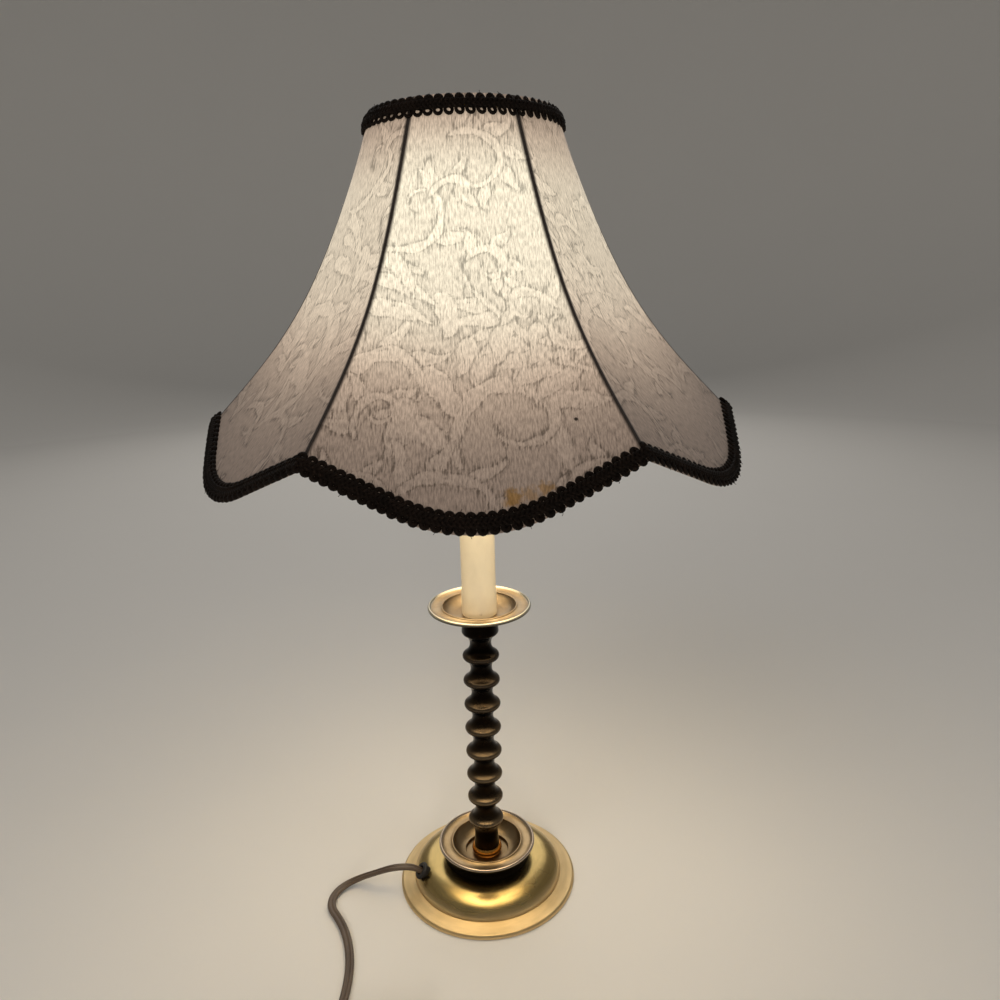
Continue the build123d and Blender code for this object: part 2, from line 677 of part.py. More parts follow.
def socket_core():
    """Moulded switch body with flats for the terminal screws."""
    body = ring_solid(0, CORE_RADIUS, core_bottom, core_top)
    flat = Box(CORE_RADIUS, 3 * CORE_RADIUS, CORE_HEIGHT, align=(Align.MIN, Align.CENTER, Align.MIN))
    for side in (0, 180):
        body -= Rot(0, 0, side) * Pos(CORE_FLAT, 0, core_bottom) * flat
    hole = Cylinder(TERMINAL_SHANK + WIRE_CLEARANCE, 3 * TERMINAL_DEPTH)
    for place in terminal_places():
        body -= place * hole
    return body - knob_hole(KNOB_SHAFT_RADIUS + KNOB_SHAFT_CLEARANCE)


def terminal_places():
    """Planes of the two terminal screw heads, facing out."""
    return [Plane(origin=(side * CORE_FLAT, 0, knob_height), z_dir=(side, 0, 0)) for side in (1, -1)]


def terminal_screws():
    head = Cylinder(TERMINAL_RADIUS, TERMINAL_HEAD, align=(Align.CENTER, Align.CENTER, Align.MIN))
    shank = Cylinder(TERMINAL_SHANK, TERMINAL_DEPTH, align=(Align.CENTER, Align.CENTER, Align.MAX))
    slot = Pos(0, 0, TERMINAL_HEAD) * Box(3 * TERMINAL_RADIUS, TERMINAL_SLOT, 2 * TERMINAL_SLOT)
    screw = head + shank - slot
    return Compound(children=[place * screw for place in terminal_places()])


def socket_screw_shell():
    outer = SCREW_SHELL_BORE + SCREW_SHELL_WALL
    floor = ring_solid(CONTACT_WIDTH, outer, core_top, core_top + SCREW_SHELL_WALL)
    return floor + ring_solid(SCREW_SHELL_BORE, outer, core_top, screw_shell_top)


def socket_contact():
    """Bent leaf that presses on the bulb's tip."""
    half = CONTACT_WIDTH / 2
    rise = core_top + CONTACT_RISE
    outline = Polyline(
        (-half, core_top),
        (-half + CONTACT_THICKNESS, core_top),
        (-half + CONTACT_THICKNESS, rise),
        (half, rise),
        (half, rise + CONTACT_THICKNESS),
        (-half, rise + CONTACT_THICKNESS),
        close=True,
    )
    return extrude(Plane.XZ * make_face(outline), CONTACT_WIDTH / 2, both=True)


knob_start = SHELL_RADIUS + KNOB_GAP
knob_plane = Plane(origin=(0, 0, knob_height), z_dir=(0, -1, 0))


def switch_shaft():
    start = CORE_RADIUS - KNOB_SHAFT_DEPTH
    length = knob_start + KNOB_SOCKET - start
    shaft = Cylinder(KNOB_SHAFT_RADIUS, length, align=(Align.CENTER, Align.CENTER, Align.MIN))
    return knob_plane * Pos(0, 0, start) * shaft


def switch_knob():
    """Fluted turn knob with a domed end."""
    align = (Align.CENTER, Align.CENTER, Align.MIN)
    knob = Cylinder(KNOB_RADIUS, KNOB_LENGTH, align=align)
    knob = fillet(knob.edges().sort_by(Axis.Z)[-1], KNOB_RADIUS / 4)
    for i in range(KNOB_FLUTES):
        flute = Pos(KNOB_RADIUS, 0, 0) * Cylinder(KNOB_FLUTE_RADIUS, KNOB_LENGTH, align=align)
        knob -= Rot(0, 0, i * 360 / KNOB_FLUTES) * flute
    knob -= Cylinder(KNOB_SHAFT_RADIUS, KNOB_SOCKET, align=align)
    return knob_plane * Pos(0, 0, knob_start) * knob


insulator_bottom = bulb_tip + BULB_TIP_HEIGHT


def bulb_tip_contact():
    return ring_solid(0, BULB_TIP_RADIUS, bulb_tip, insulator_bottom)


def bulb_insulator():
    outline = Polyline(
        (0, insulator_bottom),
        (BULB_TIP_RADIUS + BULB_TIP_MARGIN, insulator_bottom),
        (BULB_CAP_RADIUS - BULB_THREAD_DEPTH, bulb_cap_bottom),
        (0, bulb_cap_bottom),
        close=True,
    )
    return turned(outline)


def bulb_cap():
    """Screw cap, with rings for its thread."""
    root = BULB_CAP_RADIUS - BULB_THREAD_DEPTH
    turns = int((BULB_CAP_LENGTH - BULB_THREAD_PITCH / 2) / BULB_THREAD_PITCH)
    outline = [Line((root - BULB_CAP_WALL, bulb_cap_bottom), (root, bulb_cap_bottom))]
    for i in range(turns):
        low = bulb_cap_bottom + i * BULB_THREAD_PITCH
        high = low + BULB_THREAD_PITCH
        outline.append(ThreePointArc((root, low), (BULB_CAP_RADIUS, (low + high) / 2), (root, high)))
    last = bulb_cap_bottom + turns * BULB_THREAD_PITCH
    outline += [
        Line((root, last), (root, bulb_cap_top)),
        Line((root, bulb_cap_top), (root - BULB_CAP_WALL, bulb_cap_top)),
        Line((root - BULB_CAP_WALL, bulb_cap_top), (root - BULB_CAP_WALL, bulb_cap_bottom)),
    ]
    return turned(*outline)


dome_centre = bulb_dome_bottom + BULB_DOME_HEIGHT - BULB_RADIUS
dome_mouth = math.sqrt(BULB_RADIUS ** 2 - (dome_centre - bulb_dome_bottom) ** 2)


def bulb_housing():
    """Moulded driver housing, flaring from the screw cap to the dome."""
    outline = [
        Line((0, bulb_cap_top), (BULB_NECK_RADIUS, bulb_cap_top)),
        ThreePointArc(
            (BULB_NECK_RADIUS, bulb_cap_top),
            ((BULB_NECK_RADIUS + dome_mouth) / 2 - BULB_NECK_SAG, (bulb_cap_top + bulb_dome_bottom) / 2),
            (dome_mouth, bulb_dome_bottom),
        ),
        Line((dome_mouth, bulb_dome_bottom), (0, bulb_dome_bottom)),
        Line((0, bulb_dome_bottom), (0, bulb_cap_top)),
    ]
    return turned(*outline)


def bulb_board():
    """Round board that carries the light sources, under the dome."""
    radius = dome_mouth - 3 * BULB_DOME_WALL
    return ring_solid(0, radius, bulb_dome_bottom, bulb_dome_bottom + BULB_BOARD_THICKNESS)


def bulb_dome():
    """Thin round diffuser, cut flat where it meets the housing."""
    ball = Sphere(BULB_RADIUS) - Sphere(BULB_RADIUS - BULB_DOME_WALL)
    below = ring_solid(0, 2 * BULB_RADIUS, bulb_dome_bottom - 2 * BULB_RADIUS, bulb_dome_bottom)
    return Pos(0, 0, dome_centre) * ball - below


def rib_radius(drop):
    """Distance of the fabric's outer corner from the axis, at a drop below the shade's top."""
    swell = SHADE_FLARE / (1 + math.exp((SHADE_FLARE_DROP - drop) / SHADE_FLARE_SPREAD))
    return SHADE_TOP_RADIUS + SHADE_SLOPE * drop + swell


def panel_bulge(drop):
    """How far a panel's middle stands out of the line between its ribs: round at the top, flat lower."""
    full = rib_radius(drop) * (1 - math.cos(half_side))
    left = min(1, max(0, 1 - (drop - SHADE_ROUND_DROP) / SHADE_FACET_DROP))
    return max(SHADE_LEAST_BULGE, full * left ** 2)


def panel_section(drop, inner, outer):
    """Level section of a front panel between two offsets from the fabric's outer face."""
    apothem = rib_radius(drop) * math.cos(half_side)
    bulge = panel_bulge(drop)
    spread = math.tan(half_side)
    ends = []
    for offset in (outer, inner):
        reach = apothem + offset
        ends.append((reach * spread - SEAM_GAP, reach, reach + bulge))
    (wide, far, far_middle), (narrow, near, near_middle) = ends
    outline = [
        ThreePointArc((-wide, -far), (0, -far_middle), (wide, -far)),
        Line((wide, -far), (narrow, -near)),
        ThreePointArc((narrow, -near), (0, -near_middle), (-narrow, -near)),
        Line((-narrow, -near), (-wide, -far)),
    ]
    return Pos(0, 0, shade_top - drop) * make_face(Curve() + outline)


panel_drops = [SHADE_LOWEST_DROP * i / (SHADE_SECTIONS - 1) for i in range(SHADE_SECTIONS)]


def panel_skin(inner, outer):
    """Curved front panel of the shade between two offsets, before its edge is cut."""
    return loft([panel_section(drop, inner, outer) for drop in panel_drops])


corner_half = rib_radius(SHADE_CORNER_DROP) * math.sin(half_side)
scallop_corner = shade_top - SHADE_CORNER_DROP


def above_scallop(lift):
    """Cutter for all of a front panel above its scalloped edge, which is lifted by a height."""
    spare = corner_half / 4
    side = scallop_corner + lift + spare * SCALLOP_SLOPE
    bottom = scallop_corner + lift - corner_half * SCALLOP_SLOPE
    wide = corner_half + spare
    high = shade_top + TRIM_WIDTH
    edge = FilletPolyline((-wide, side), (0, bottom), (wide, side), radius=SCALLOP_ROUND)
    rest = Polyline((wide, side), (wide, high), (-wide, high), (-wide, side))
    return extrude(Plane.XZ * make_face(Curve() + [edge, rest]), 2 * rib_radius(SHADE_LOWEST_DROP))


trim_outer = TRIM_GAP + TRIM_THICKNESS


def shade_turn(index):
    return Rot(0, 0, index * 360 / SHADE_SIDES)


def around_shade(piece):
    """Copies of a piece on every side of the shade, as one node of separate solids."""
    return Compound(children=[shade_turn(i) * piece for i in range(SHADE_SIDES)])


def shade_panel():
    return panel_skin(-FABRIC_THICKNESS, 0) & above_scallop(TRIM_OVERHANG)


def bottom_trim():
    """Braid round the scalloped edge, outside the fabric."""
    band = above_scallop(0) - above_scallop(TRIM_WIDTH)
    return around_shade(panel_skin(TRIM_GAP, trim_outer) & band)


def top_trim():
    """Braid round the top edge."""
    slant = math.hypot(1, SHADE_SLOPE)
    lower = shade_top - TRIM_WIDTH / slant
    keep = ring_solid(0, 2 * SHADE_TOP_RADIUS, lower, shade_top)
    return around_shade(panel_skin(TRIM_GAP, trim_outer) & keep)


wire_inset = FABRIC_THICKNESS / math.cos(half_side) + FRAME_WIRE / math.cos(half_side) + FRAME_GAP


def rib_point(drop):
    """Middle of a rib wire, square inside the fabric's corner, in the plane of the rib at -120 degrees."""
    step = 0.01
    slope = (rib_radius(drop + step) - rib_radius(drop - step)) / (2 * step)
    size = math.hypot(1, slope)
    radius = rib_radius(drop) - wire_inset / size
    height = shade_top - drop - wire_inset * slope / size
    turn = math.radians(-90) - half_side
    return Vector(radius * math.cos(turn), radius * math.sin(turn), height)


ring_inset = FABRIC_THICKNESS / math.cos(half_side) + RING_WIRE + FRAME_GAP
ring_radius = rib_radius(0) - ring_inset
ring_height = shade_top - RING_WIRE - FRAME_GAP


def shade_rib():
    first = 2 * RING_WIRE + RIB_TOP_GAP
    last = SHADE_CORNER_DROP - RIB_FOOT_GAP
    step = (last - first) / (RIB_POINTS - 1)
    points = [rib_point(first + step * i) for i in range(RIB_POINTS)]
    ways = headings(points)
    return round_bar(wire_along(points, ways), points[0], ways[0], FRAME_WIRE)


def scallop_height(across):
    """Height of the trim's lower edge at a distance from the middle of a panel."""
    angle = math.atan(SCALLOP_SLOPE)
    vertex = scallop_corner - corner_half * SCALLOP_SLOPE
    if abs(across) > SCALLOP_ROUND * math.sin(angle):
        return vertex + abs(across) * SCALLOP_SLOPE
    centre = vertex + SCALLOP_ROUND / math.cos(angle)
    return centre - math.sqrt(SCALLOP_ROUND ** 2 - across ** 2)


def hem_point(across):
    """Middle of the scalloped frame wire, inside the fabric and just above its edge."""
    height = scallop_height(across) + TRIM_OVERHANG + 2 * FRAME_WIRE
    drop = shade_top - height
    inset = FABRIC_THICKNESS + WIRE_SLANT * FRAME_WIRE + FRAME_GAP
    apothem = rib_radius(drop) * math.cos(half_side)
    share = across / (apothem * math.tan(half_side))
    return Vector(across, inset - apothem - panel_bulge(drop) * (1 - share * share), height)


def bottom_wire():
    """Frame wire of the scalloped edge, one length from rib to rib on each side."""
    end = corner_half - HEM_END_GAP
    step = 2 * end / (HEM_POINTS - 1)
    points = [hem_point(step * i - end) for i in range(HEM_POINTS)]
    ways = headings(points)
    return around_shade(round_bar(wire_along(points, ways), points[0], ways[0], FRAME_WIRE))


def shade_top_ring():
    return Pos(0, 0, ring_height) * Torus(ring_radius, RING_WIRE)


def shade_spider():
    """Washer on the harp stud, with arms up to the top ring."""
    washer = ring_solid(STUD_RADIUS + SPIDER_HOLE_GAP, SPIDER_WASHER_RADIUS, stud_seat, washer_top)
    low = stud_seat + SPIDER_ARM_WIRE
    inner = SPIDER_WASHER_RADIUS - SPIDER_WELD
    outer = ring_radius - RING_WIRE - WIRE_CLEARANCE
    points = [
        Vector(inner, 0, low),
        Vector(SPIDER_WASHER_RADIUS + SPIDER_FLAT, 0, low),
        Vector(outer - SPIDER_END, 0, ring_height),
        Vector(outer, 0, ring_height),
    ]
    path = FilletPolyline(*points, radius=SPIDER_BEND)
    arm = round_bar(path, points[0], Vector(1, 0, 0), SPIDER_ARM_WIRE)
    spider = washer
    for i in range(SPIDER_ARMS):
        spider += Rot(0, 0, SPIDER_AZIMUTH + i * 360 / SPIDER_ARMS) * arm
    return spider


def finial():
    """Turned knob that screws on the stud and holds the shade down."""
    top = washer_top + FINIAL_HEIGHT
    ball = top - FINIAL_BALL
    neck = ball - math.sqrt(FINIAL_BALL ** 2 - FINIAL_NECK ** 2)
    foot = washer_top + FINIAL_FOOT
    bore = STUD_RADIUS + FINIAL_CLEARANCE
    bore_end = stud_seat + STUD_LENGTH + FINIAL_BORE_END
    outline = [
        Line((bore, washer_top), (FINIAL_RADIUS, washer_top)),
        Line((FINIAL_RADIUS, washer_top), (FINIAL_RADIUS, foot)),
        ThreePointArc((FINIAL_RADIUS, foot), (FINIAL_WAIST, (foot + neck) / 2), (FINIAL_NECK, neck)),
        ThreePointArc((FINIAL_NECK, neck), (FINIAL_BALL, ball), (0, top)),
        Line((0, top), (0, bore_end)),
        Line((0, bore_end), (bore, bore_end)),
        Line((bore, bore_end), (bore, washer_top)),
    ]
    return turned(*outline)


def cord_bushing():
    """Rubber bushing in the dome's side, with a round flange outside."""
    flange_end = BUSHING_STANDOFF + BUSHING_FLANGE_THICKNESS
    outline = Polyline(
        (BUSHING_BORE, -BUSHING_INSIDE),
        (BUSHING_RADIUS, -BUSHING_INSIDE),
        (BUSHING_RADIUS, BUSHING_STANDOFF),
        (BUSHING_FLANGE, BUSHING_STANDOFF),
        (BUSHING_FLANGE, flange_end - BUSHING_CHAMFER),
        (BUSHING_FLANGE - BUSHING_CHAMFER, flange_end),
        (BUSHING_BORE, flange_end),
        close=True,
    )
    return bushing_plane * turned(outline)


# Route of the cord on the floor, from the bushing to the coil
cord_radius = CORD_DIAMETER / 2
floor_line = cord_radius + CORD_LIFT
coil_outer = COIL_INNER_RADIUS + COIL_STEP * COIL_TURNS_IN
coil_entry = Vector(COIL_CENTRE[0] - coil_outer, COIL_CENTRE[1], COIL_LOW)
cord_route = [
    bushing_point,
    bushing_point + bushing_way * CORD_EXIT,
    Vector(-59.5, -14.8, 21.2),
    Vector(-68.8, -13.9, 19.4),
    Vector(-79.5, -10.2, 13.2),
    Vector(-91.2, -5.8, 6.0),
    Vector(-102.0, -8.8, floor_line + 0.4),
    Vector(-108.2, -18.0, floor_line),
    Vector(-107.8, -29.0, floor_line),
    Vector(-101.4, -38.2, floor_line),
    Vector(-95.4, -49.2, floor_line),
    Vector(-90.6, -63.0, floor_line),
    Vector(-87.6, -79.5, floor_line),
    Vector(-87.4, -98.0, floor_line),
    Vector(-89.8, -117.0, floor_line),
    Vector(-93.8, -135.5, floor_line + 0.4),
    coil_entry + Vector(0, COIL_LEAD, 0),
    coil_entry,
]


def tube_of(route, radius, name):
    """Tube on straight runs joined by the largest arcs that the runs leave room for."""
    bends = []
    for before, here, after in zip(route, route[1:], route[2:]):
        run = min((here - before).length, (after - here).length)
        half_turn = math.radians((here - before).get_angle(after - here)) / 2
        bends.append(CORD_ARC_SHARE * run / math.tan(half_turn))
    path = FilletPolyline(*route, radius=bends)
    tube = round_bar(path, route[0], (route[1] - route[0]).normalized(), radius)
    print(name, "radii", [round(bend, 1) for bend in bends], "length", round(path.length, 1))
    section = math.pi * radius ** 2
    print(name, "volume", round(tube.volume), "section times length", round(section * path.length))
    return tube


def cord_free():
    return tube_of(cord_route, cord_radius, "cord_free")


def inner_lead():
    """Lead inside the lamp: through the weight's slot, round the pipe's mouth and up to the socket."""
    inward = LEAD_EXIT * math.cos(bushing_rise)
    downward = LEAD_EXIT * math.sin(bushing_rise)
    profile = [
        (BUSHING_REACH, bushing_point.Z),
        (BUSHING_REACH - inward, bushing_point.Z - downward),
        (LEAD_SLOT_REACH, FELT_THICKNESS + WEIGHT_SLOT_FLOOR + cord_radius + LEAD_SLOT_RISE),
        (LEAD_MOUTH_REACH, FELT_THICKNESS + cord_radius + LEAD_MOUTH_RISE),
        (0.0, FELT_THICKNESS + cord_radius + LEAD_TURN_RISE),
        (0.0, core_bottom),
    ]
    across = Vector(math.cos(bushing_turn), math.sin(bushing_turn), 0)
    route = [across * reach + Vector(0, 0, height) for reach, height in profile]
    return tube_of(route, cord_radius, "inner_lead")


def coil_place(turns):
    """Point of the coil after some turns: spiral in on the floor, climb, and spiral out on top."""
    climb_end = COIL_TURNS_IN + COIL_TURNS_CLIMB
    if turns <= COIL_TURNS_IN:
        radius = coil_outer - COIL_STEP * turns
        height = COIL_LOW
    elif turns <= climb_end:
        share = (turns - COIL_TURNS_IN) / COIL_TURNS_CLIMB
        radius = COIL_INNER_RADIUS
        height = COIL_LOW + COIL_LAYER * share * share * (3 - 2 * share)
    else:
        radius = COIL_INNER_RADIUS + COIL_STEP * (turns - climb_end)
        height = COIL_LOW + COIL_LAYER
    angle = math.pi + 2 * math.pi * turns
    centre = Vector(COIL_CENTRE[0], COIL_CENTRE[1], height)
    return centre + Vector(radius * math.cos(angle), radius * math.sin(angle), 0)


coil_turns = COIL_TURNS_IN + COIL_TURNS_CLIMB + COIL_TURNS_OUT
plug_middle = PLUG_THICKNESS / 2
plug_start = coil_place(coil_turns) + Vector(COIL_TAIL, 0, 0)
plug_start = Vector(plug_start.X, plug_start.Y, plug_middle)


def cord_coil():
    """Wound length of the cord: one tube on arcs of a quarter turn, with a straight tail to the plug."""
    step = 0.0005
    quarters = int(round(4 * coil_turns))
    points = []
    ways = []
    for i in range(quarters + 1):
        turns = i / 4
        points.append(coil_place(turns))
        ways.append((coil_place(turns + step) - coil_place(turns - step)).normalized())
    ways[0] = Vector(0, -1, 0)
    ways[-1] = Vector(1, 0, 0)
    points += [plug_start]
    ways += [Vector(1, 0, 0)]
    path = wire_along(points, ways)
    spots = [path.position_at(i / COIL_SPOTS) for i in range(COIL_SPOTS + 1)]
    skip = int(3 * CORD_DIAMETER / path.length * COIL_SPOTS)
    apart = min((here - there).length for i, here in enumerate(spots) for there in spots[i + skip:])
    coil = round_bar(path, points[0], ways[0], cord_radius)
    section = math.pi * cord_radius ** 2
    print("cord_coil length", round(path.length, 1), "least gap to itself", round(apart - CORD_DIAMETER, 2))
    print("cord_coil volume", round(coil.volume), "section times length", round(section * path.length))
    return coil


def coil_tie():
    """Flat band round the wound turns."""
    near = COIL_INNER_RADIUS - cord_radius - TIE_SIDE_GAP
    far = coil_outer + cord_radius + TIE_SIDE_GAP
    low = COIL_LOW - cord_radius - TIE_GAP
    high = COIL_LOW + COIL_LAYER + cord_radius + TIE_GAP
    outer = RectangleRounded(far - near + 2 * TIE_THICKNESS, high - low + 2 * TIE_THICKNESS, TIE_ROUND)
    inner = RectangleRounded(far - near, high - low, TIE_ROUND - TIE_THICKNESS)
    band = extrude(Plane.XZ * (outer - inner), TIE_WIDTH / 2, both=True)
    place = Pos(COIL_CENTRE[0], COIL_CENTRE[1], 0) * Rot(0, 0, TIE_AZIMUTH)
    return place * Pos((near + far) / 2, 0, (low + high) / 2) * band


body_start = plug_start.X + PLUG_RELIEF
blade_start = body_start + PLUG_LENGTH
plug_axis = Plane(origin=(plug_start.X, plug_start.Y, plug_middle), x_dir=(0, 1, 0), z_dir=(1, 0, 0))


def plug_blade(side):
    return Box(
        BLADE_LENGTH + BLADE_ROOT,
        BLADE_THICKNESS,
        BLADE_WIDTH,
        align=(Align.MIN, Align.CENTER, Align.CENTER),
    ).moved(Location((blade_start - BLADE_ROOT, plug_start.Y + side * BLADE_SPACING / 2, plug_middle)))


def plug_body():
    """Moulded plug with rounded edges and a tapered relief round the cord."""
    outline = RectangleRounded(PLUG_WIDTH, PLUG_THICKNESS, PLUG_CORNER)
    grip = Pos(0, 0, PLUG_RELIEF) * extrude(outline, PLUG_LENGTH)
    grip = fillet(grip.faces().sort_by(Axis.Z)[0].edges(), PLUG_CORNER / 2)
    relief_end = Pos(0, 0, PLUG_RELIEF + PLUG_CORNER / 4) * Circle(PLUG_RELIEF_END)
    taper = loft([Circle(PLUG_RELIEF_RADIUS), relief_end])
    body = plug_axis * (grip + taper)
    return body - plug_blade(1) - plug_blade(-1)


def plug_blades():
    return Compound(children=[plug_blade(1), plug_blade(-1)])


nodes = {
    "base_felt": base_felt(),
    "base_weight": base_weight(),
    "base_shell": base_shell(),
    "base_washer": ring_solid(pipe_hole, WASHER_RADIUS, nut_top, dome_under),
    "base_nut": base_nut(),
    "base_cup": base_cup(),
    "cord_bushing": cord_bushing(),
    "foot_ring": foot_ring(),
    "spindle": spindle(),
    "drip_pan": drip_pan(),
    "center_pipe": ring_solid(PIPE_BORE, PIPE_RADIUS, pipe_bottom, pipe_top),
    "candle_tube": ring_solid(TUBE_RADIUS - TUBE_WALL, TUBE_RADIUS, pan_floor, tube_top),
    "harp_saddle": harp_saddle(),
    "harp_bow": harp_bow(),
    "harp_stud": harp_stud(),
    "harp_sleeve_left": harp_sleeve(-1),
    "harp_sleeve_right": harp_sleeve(1),
    "socket_cap": socket_cap(),
    "socket_set_screw": socket_set_screw(),
    "socket_shell": socket_shell(),
    "socket_liner": socket_liner(),
    "socket_core": socket_core(),
    "socket_screw_shell": socket_screw_shell(),
    "socket_contact": socket_contact(),
    "terminal_screws": terminal_screws(),
    "switch_shaft": switch_shaft(),
    "switch_knob": switch_knob(),
    "bulb_tip": bulb_tip_contact(),
    "bulb_insulator": bulb_insulator(),
    "bulb_cap": bulb_cap(),
    "bulb_housing": bulb_housing(),
    "bulb_board": bulb_board(),
    "bulb_dome": bulb_dome(),
    "shade_spider": shade_spider(),
    "shade_top_ring": shade_top_ring(),
    "shade_bottom_wire": bottom_wire(),
    "shade_top_trim": top_trim(),
    "shade_bottom_trim": bottom_trim(),
    "finial": finial(),
    "inner_lead": inner_lead(),
    "cord_free": cord_free(),
    "cord_coil": cord_coil(),
    "coil_tie": coil_tie(),
    "plug_body": plug_body(),
    "plug_blades": plug_blades(),
}
front_panel = shade_panel()
left_rib = shade_rib()
for i in range(SHADE_SIDES):
    nodes["shade_panel_" + panel_names[i]] = shade_turn(i) * front_panel
    nodes["shade_rib_%d" % (i + 1)] = shade_turn(i) * left_rib

os.makedirs("parts", exist_ok=True)
for name, solid in nodes.items():
    export_step(solid, "parts/%s.step" % name)
print(len(nodes), "nodes written")
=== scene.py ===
import json
import math
import random

import bmesh
import bpy
import numpy as np
from mathutils import Matrix, Vector


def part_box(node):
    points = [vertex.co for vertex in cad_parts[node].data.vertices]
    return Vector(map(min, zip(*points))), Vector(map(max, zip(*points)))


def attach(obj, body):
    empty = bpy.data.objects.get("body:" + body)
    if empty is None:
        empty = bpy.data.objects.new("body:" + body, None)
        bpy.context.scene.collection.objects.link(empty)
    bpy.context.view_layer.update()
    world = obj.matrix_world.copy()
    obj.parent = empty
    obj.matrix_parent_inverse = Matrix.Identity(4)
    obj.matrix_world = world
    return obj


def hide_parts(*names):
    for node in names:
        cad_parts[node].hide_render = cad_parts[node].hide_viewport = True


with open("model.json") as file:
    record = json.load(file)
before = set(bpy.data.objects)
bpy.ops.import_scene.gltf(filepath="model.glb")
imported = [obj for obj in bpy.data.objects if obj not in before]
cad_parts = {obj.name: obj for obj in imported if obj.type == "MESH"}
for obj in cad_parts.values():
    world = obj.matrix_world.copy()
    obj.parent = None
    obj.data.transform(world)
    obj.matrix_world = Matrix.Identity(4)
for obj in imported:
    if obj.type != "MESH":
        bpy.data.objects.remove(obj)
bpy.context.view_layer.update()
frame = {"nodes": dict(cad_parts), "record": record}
nodes = frame["nodes"]
MM = 0.001

# Shape of the shade, in millimetres, as its solids have it
SHADE_SIDES = 6
HALF_SIDE = math.pi / SHADE_SIDES
SHADE_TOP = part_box("shade_panel_front")[1].z / MM
SHADE_TOP_RADIUS = 50.6
SHADE_SLOPE = 0.382
SHADE_FLARE = 73.3
SHADE_FLARE_DROP = 160.0
SHADE_FLARE_SPREAD = 30.5
SHADE_CORNER_DROP = 171.5
SHADE_LOWEST_DROP = 207.0
SHADE_ROUND_DROP = 12.0
SHADE_FACET_DROP = 110.0
SHADE_LEAST_BULGE = 0.6
SCALLOP_SLOPE = 0.425
SCALLOP_ROUND = 88.0
SEAM_GAP = 0.05
FABRIC_THICKNESS = 0.9
TRIM_WIDTH = 11.5
TRIM_OVERHANG = 1.5
PANEL_SIDES = ["front", "front_right", "back_right", "back", "back_left", "front_left"]
PANEL_COLUMNS = 170
PANEL_ROWS = 250
HEM_ROUNDS = 25
SLANT_SAMPLES = 400
WEAVE_SPAN = 260.0

# Damask repeat, in millimetres
TILE_WIDTH = 156.0
TILE_HEIGHT = 214.0
TILE_STEP = 0.6
STROKE_MARGIN = 5
FROND_STEP = 0.8
LEAF_SOFTNESS = 0.9
EDGE_WIDTH = 0.8
VEIN_INSET = 2.4
VEIN_WIDTH = 0.6
VEIN_SHARE = 0.5
HALO_MIDDLE = 1.2
HALO_WIDTH = 2.4
HALO_SHARE = 0.34
WARP = 1.3
PANEL_SHIFT_ACROSS = [0.0, 0.31, 0.62, 0.12, 0.45, 0.78]
PANEL_SHIFT_DOWN = [0.0, 0.18, 0.41, 0.63, 0.30, 0.12]

# Glow of the bulb through the fabric, and how fast it goes below the drop where it has half gone
GLOW_FADE = 17.0
GLOW_SIDE_DROP = 0.0026
GLOW_TOP_LOSS = 0.85
GLOW_TOP_REACH = 46.0
PANEL_GLOW = [1.0, 0.74, 0.74, 0.74, 0.74, 0.74]
PANEL_GLOW_DROP = [131.0, 128.5, 128.5, 128.5, 128.5, 128.5]
GLOW_STRENGTH = 0.84
LINING_STRENGTH = 3.2
BULB_STRENGTH = 12.0

# Marks on the front panel, in metres
STAIN_SPOT = (0.0175, -0.1483, 0.3193)
STAIN_SMEAR = (0.0246, -0.1470, 0.3200)
STAIN_DRIP = (0.0313, -0.1451, 0.3233)
INK_SPOT = (0.0474, -0.1229, 0.3496)

# Braid, in millimetres
HEM_LOOP_PITCH = 4.9
TOP_LOOP_PITCH = 5.3
LOOP_RADIUS = 2.75
OPEN_CORD = 0.9
HALF_OPEN_CORD = 1.2
CLOSED_CORD = 1.34
LOOP_LEAN = 0.3
PLAIT_PITCH = 7.2
PLAIT_SWING = 1.9
PLAIT_CORD = 1.0
BRAID_LIFT = 1.1
LOOP_HEIGHT = 0.9
LOOP_SIDES = 6
LOOP_STEPS = 12
PLAIT_POINTS = 10
FIBRE = 0.13
FIBRE_CHANCE = 0.12
BRAID_SEED = 7

# Candle tube, in millimetres
CANDLE_WALL = 1.3
CANDLE_SWELL = 0.4
CANDLE_STEPS = 96

# Height over the floor below which the base cup's outer wall takes painted near-black shade, in metres
CUP_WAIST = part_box("base_cup")[1].z - 3.4 * MM

# Cord, in millimetres, with its length in metres
CORD_WIDTH = 5.6
CORD_THICKNESS = 2.8
CORD_WAIST = 0.8
FLOOR_LINE = 2.35
COIL_CENTRE = (-57.0, -168.0)
COIL_INNER_RADIUS = 23.5
COIL_STEP = 5.6
COIL_TURNS_IN = 3.5
COIL_TURNS_CLIMB = 0.5
COIL_TURNS_OUT = 3.25
COIL_LOW = 3.7
COIL_LAYER = 6.0
COIL_TAIL = 34.0
COIL_POINTS = 16
CORE_STEPS = 12

# Angles past which the shading of an edge breaks
SOLID_EDGE = math.radians(28)
CANDLE_EDGE = math.radians(40)


# Small tools

def new_piece(name, shape, finishes, body):
    """Object at the origin from a finished bmesh, riding on a body."""
    mesh = bpy.data.meshes.new(name)
    shape.to_mesh(mesh)
    shape.free()
    return mesh_piece(name, mesh, finishes, body)


def mesh_piece(name, mesh, finishes, body):
    """Smooth object at the origin from a mesh, riding on a body."""
    mesh.name = name
    mesh.materials.clear()
    for finish in finishes:
        mesh.materials.append(finish)
    mesh.shade_smooth()
    piece = bpy.data.objects.new(name, mesh)
    bpy.context.scene.collection.objects.link(piece)
    if body:
        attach(piece, body)
    return piece


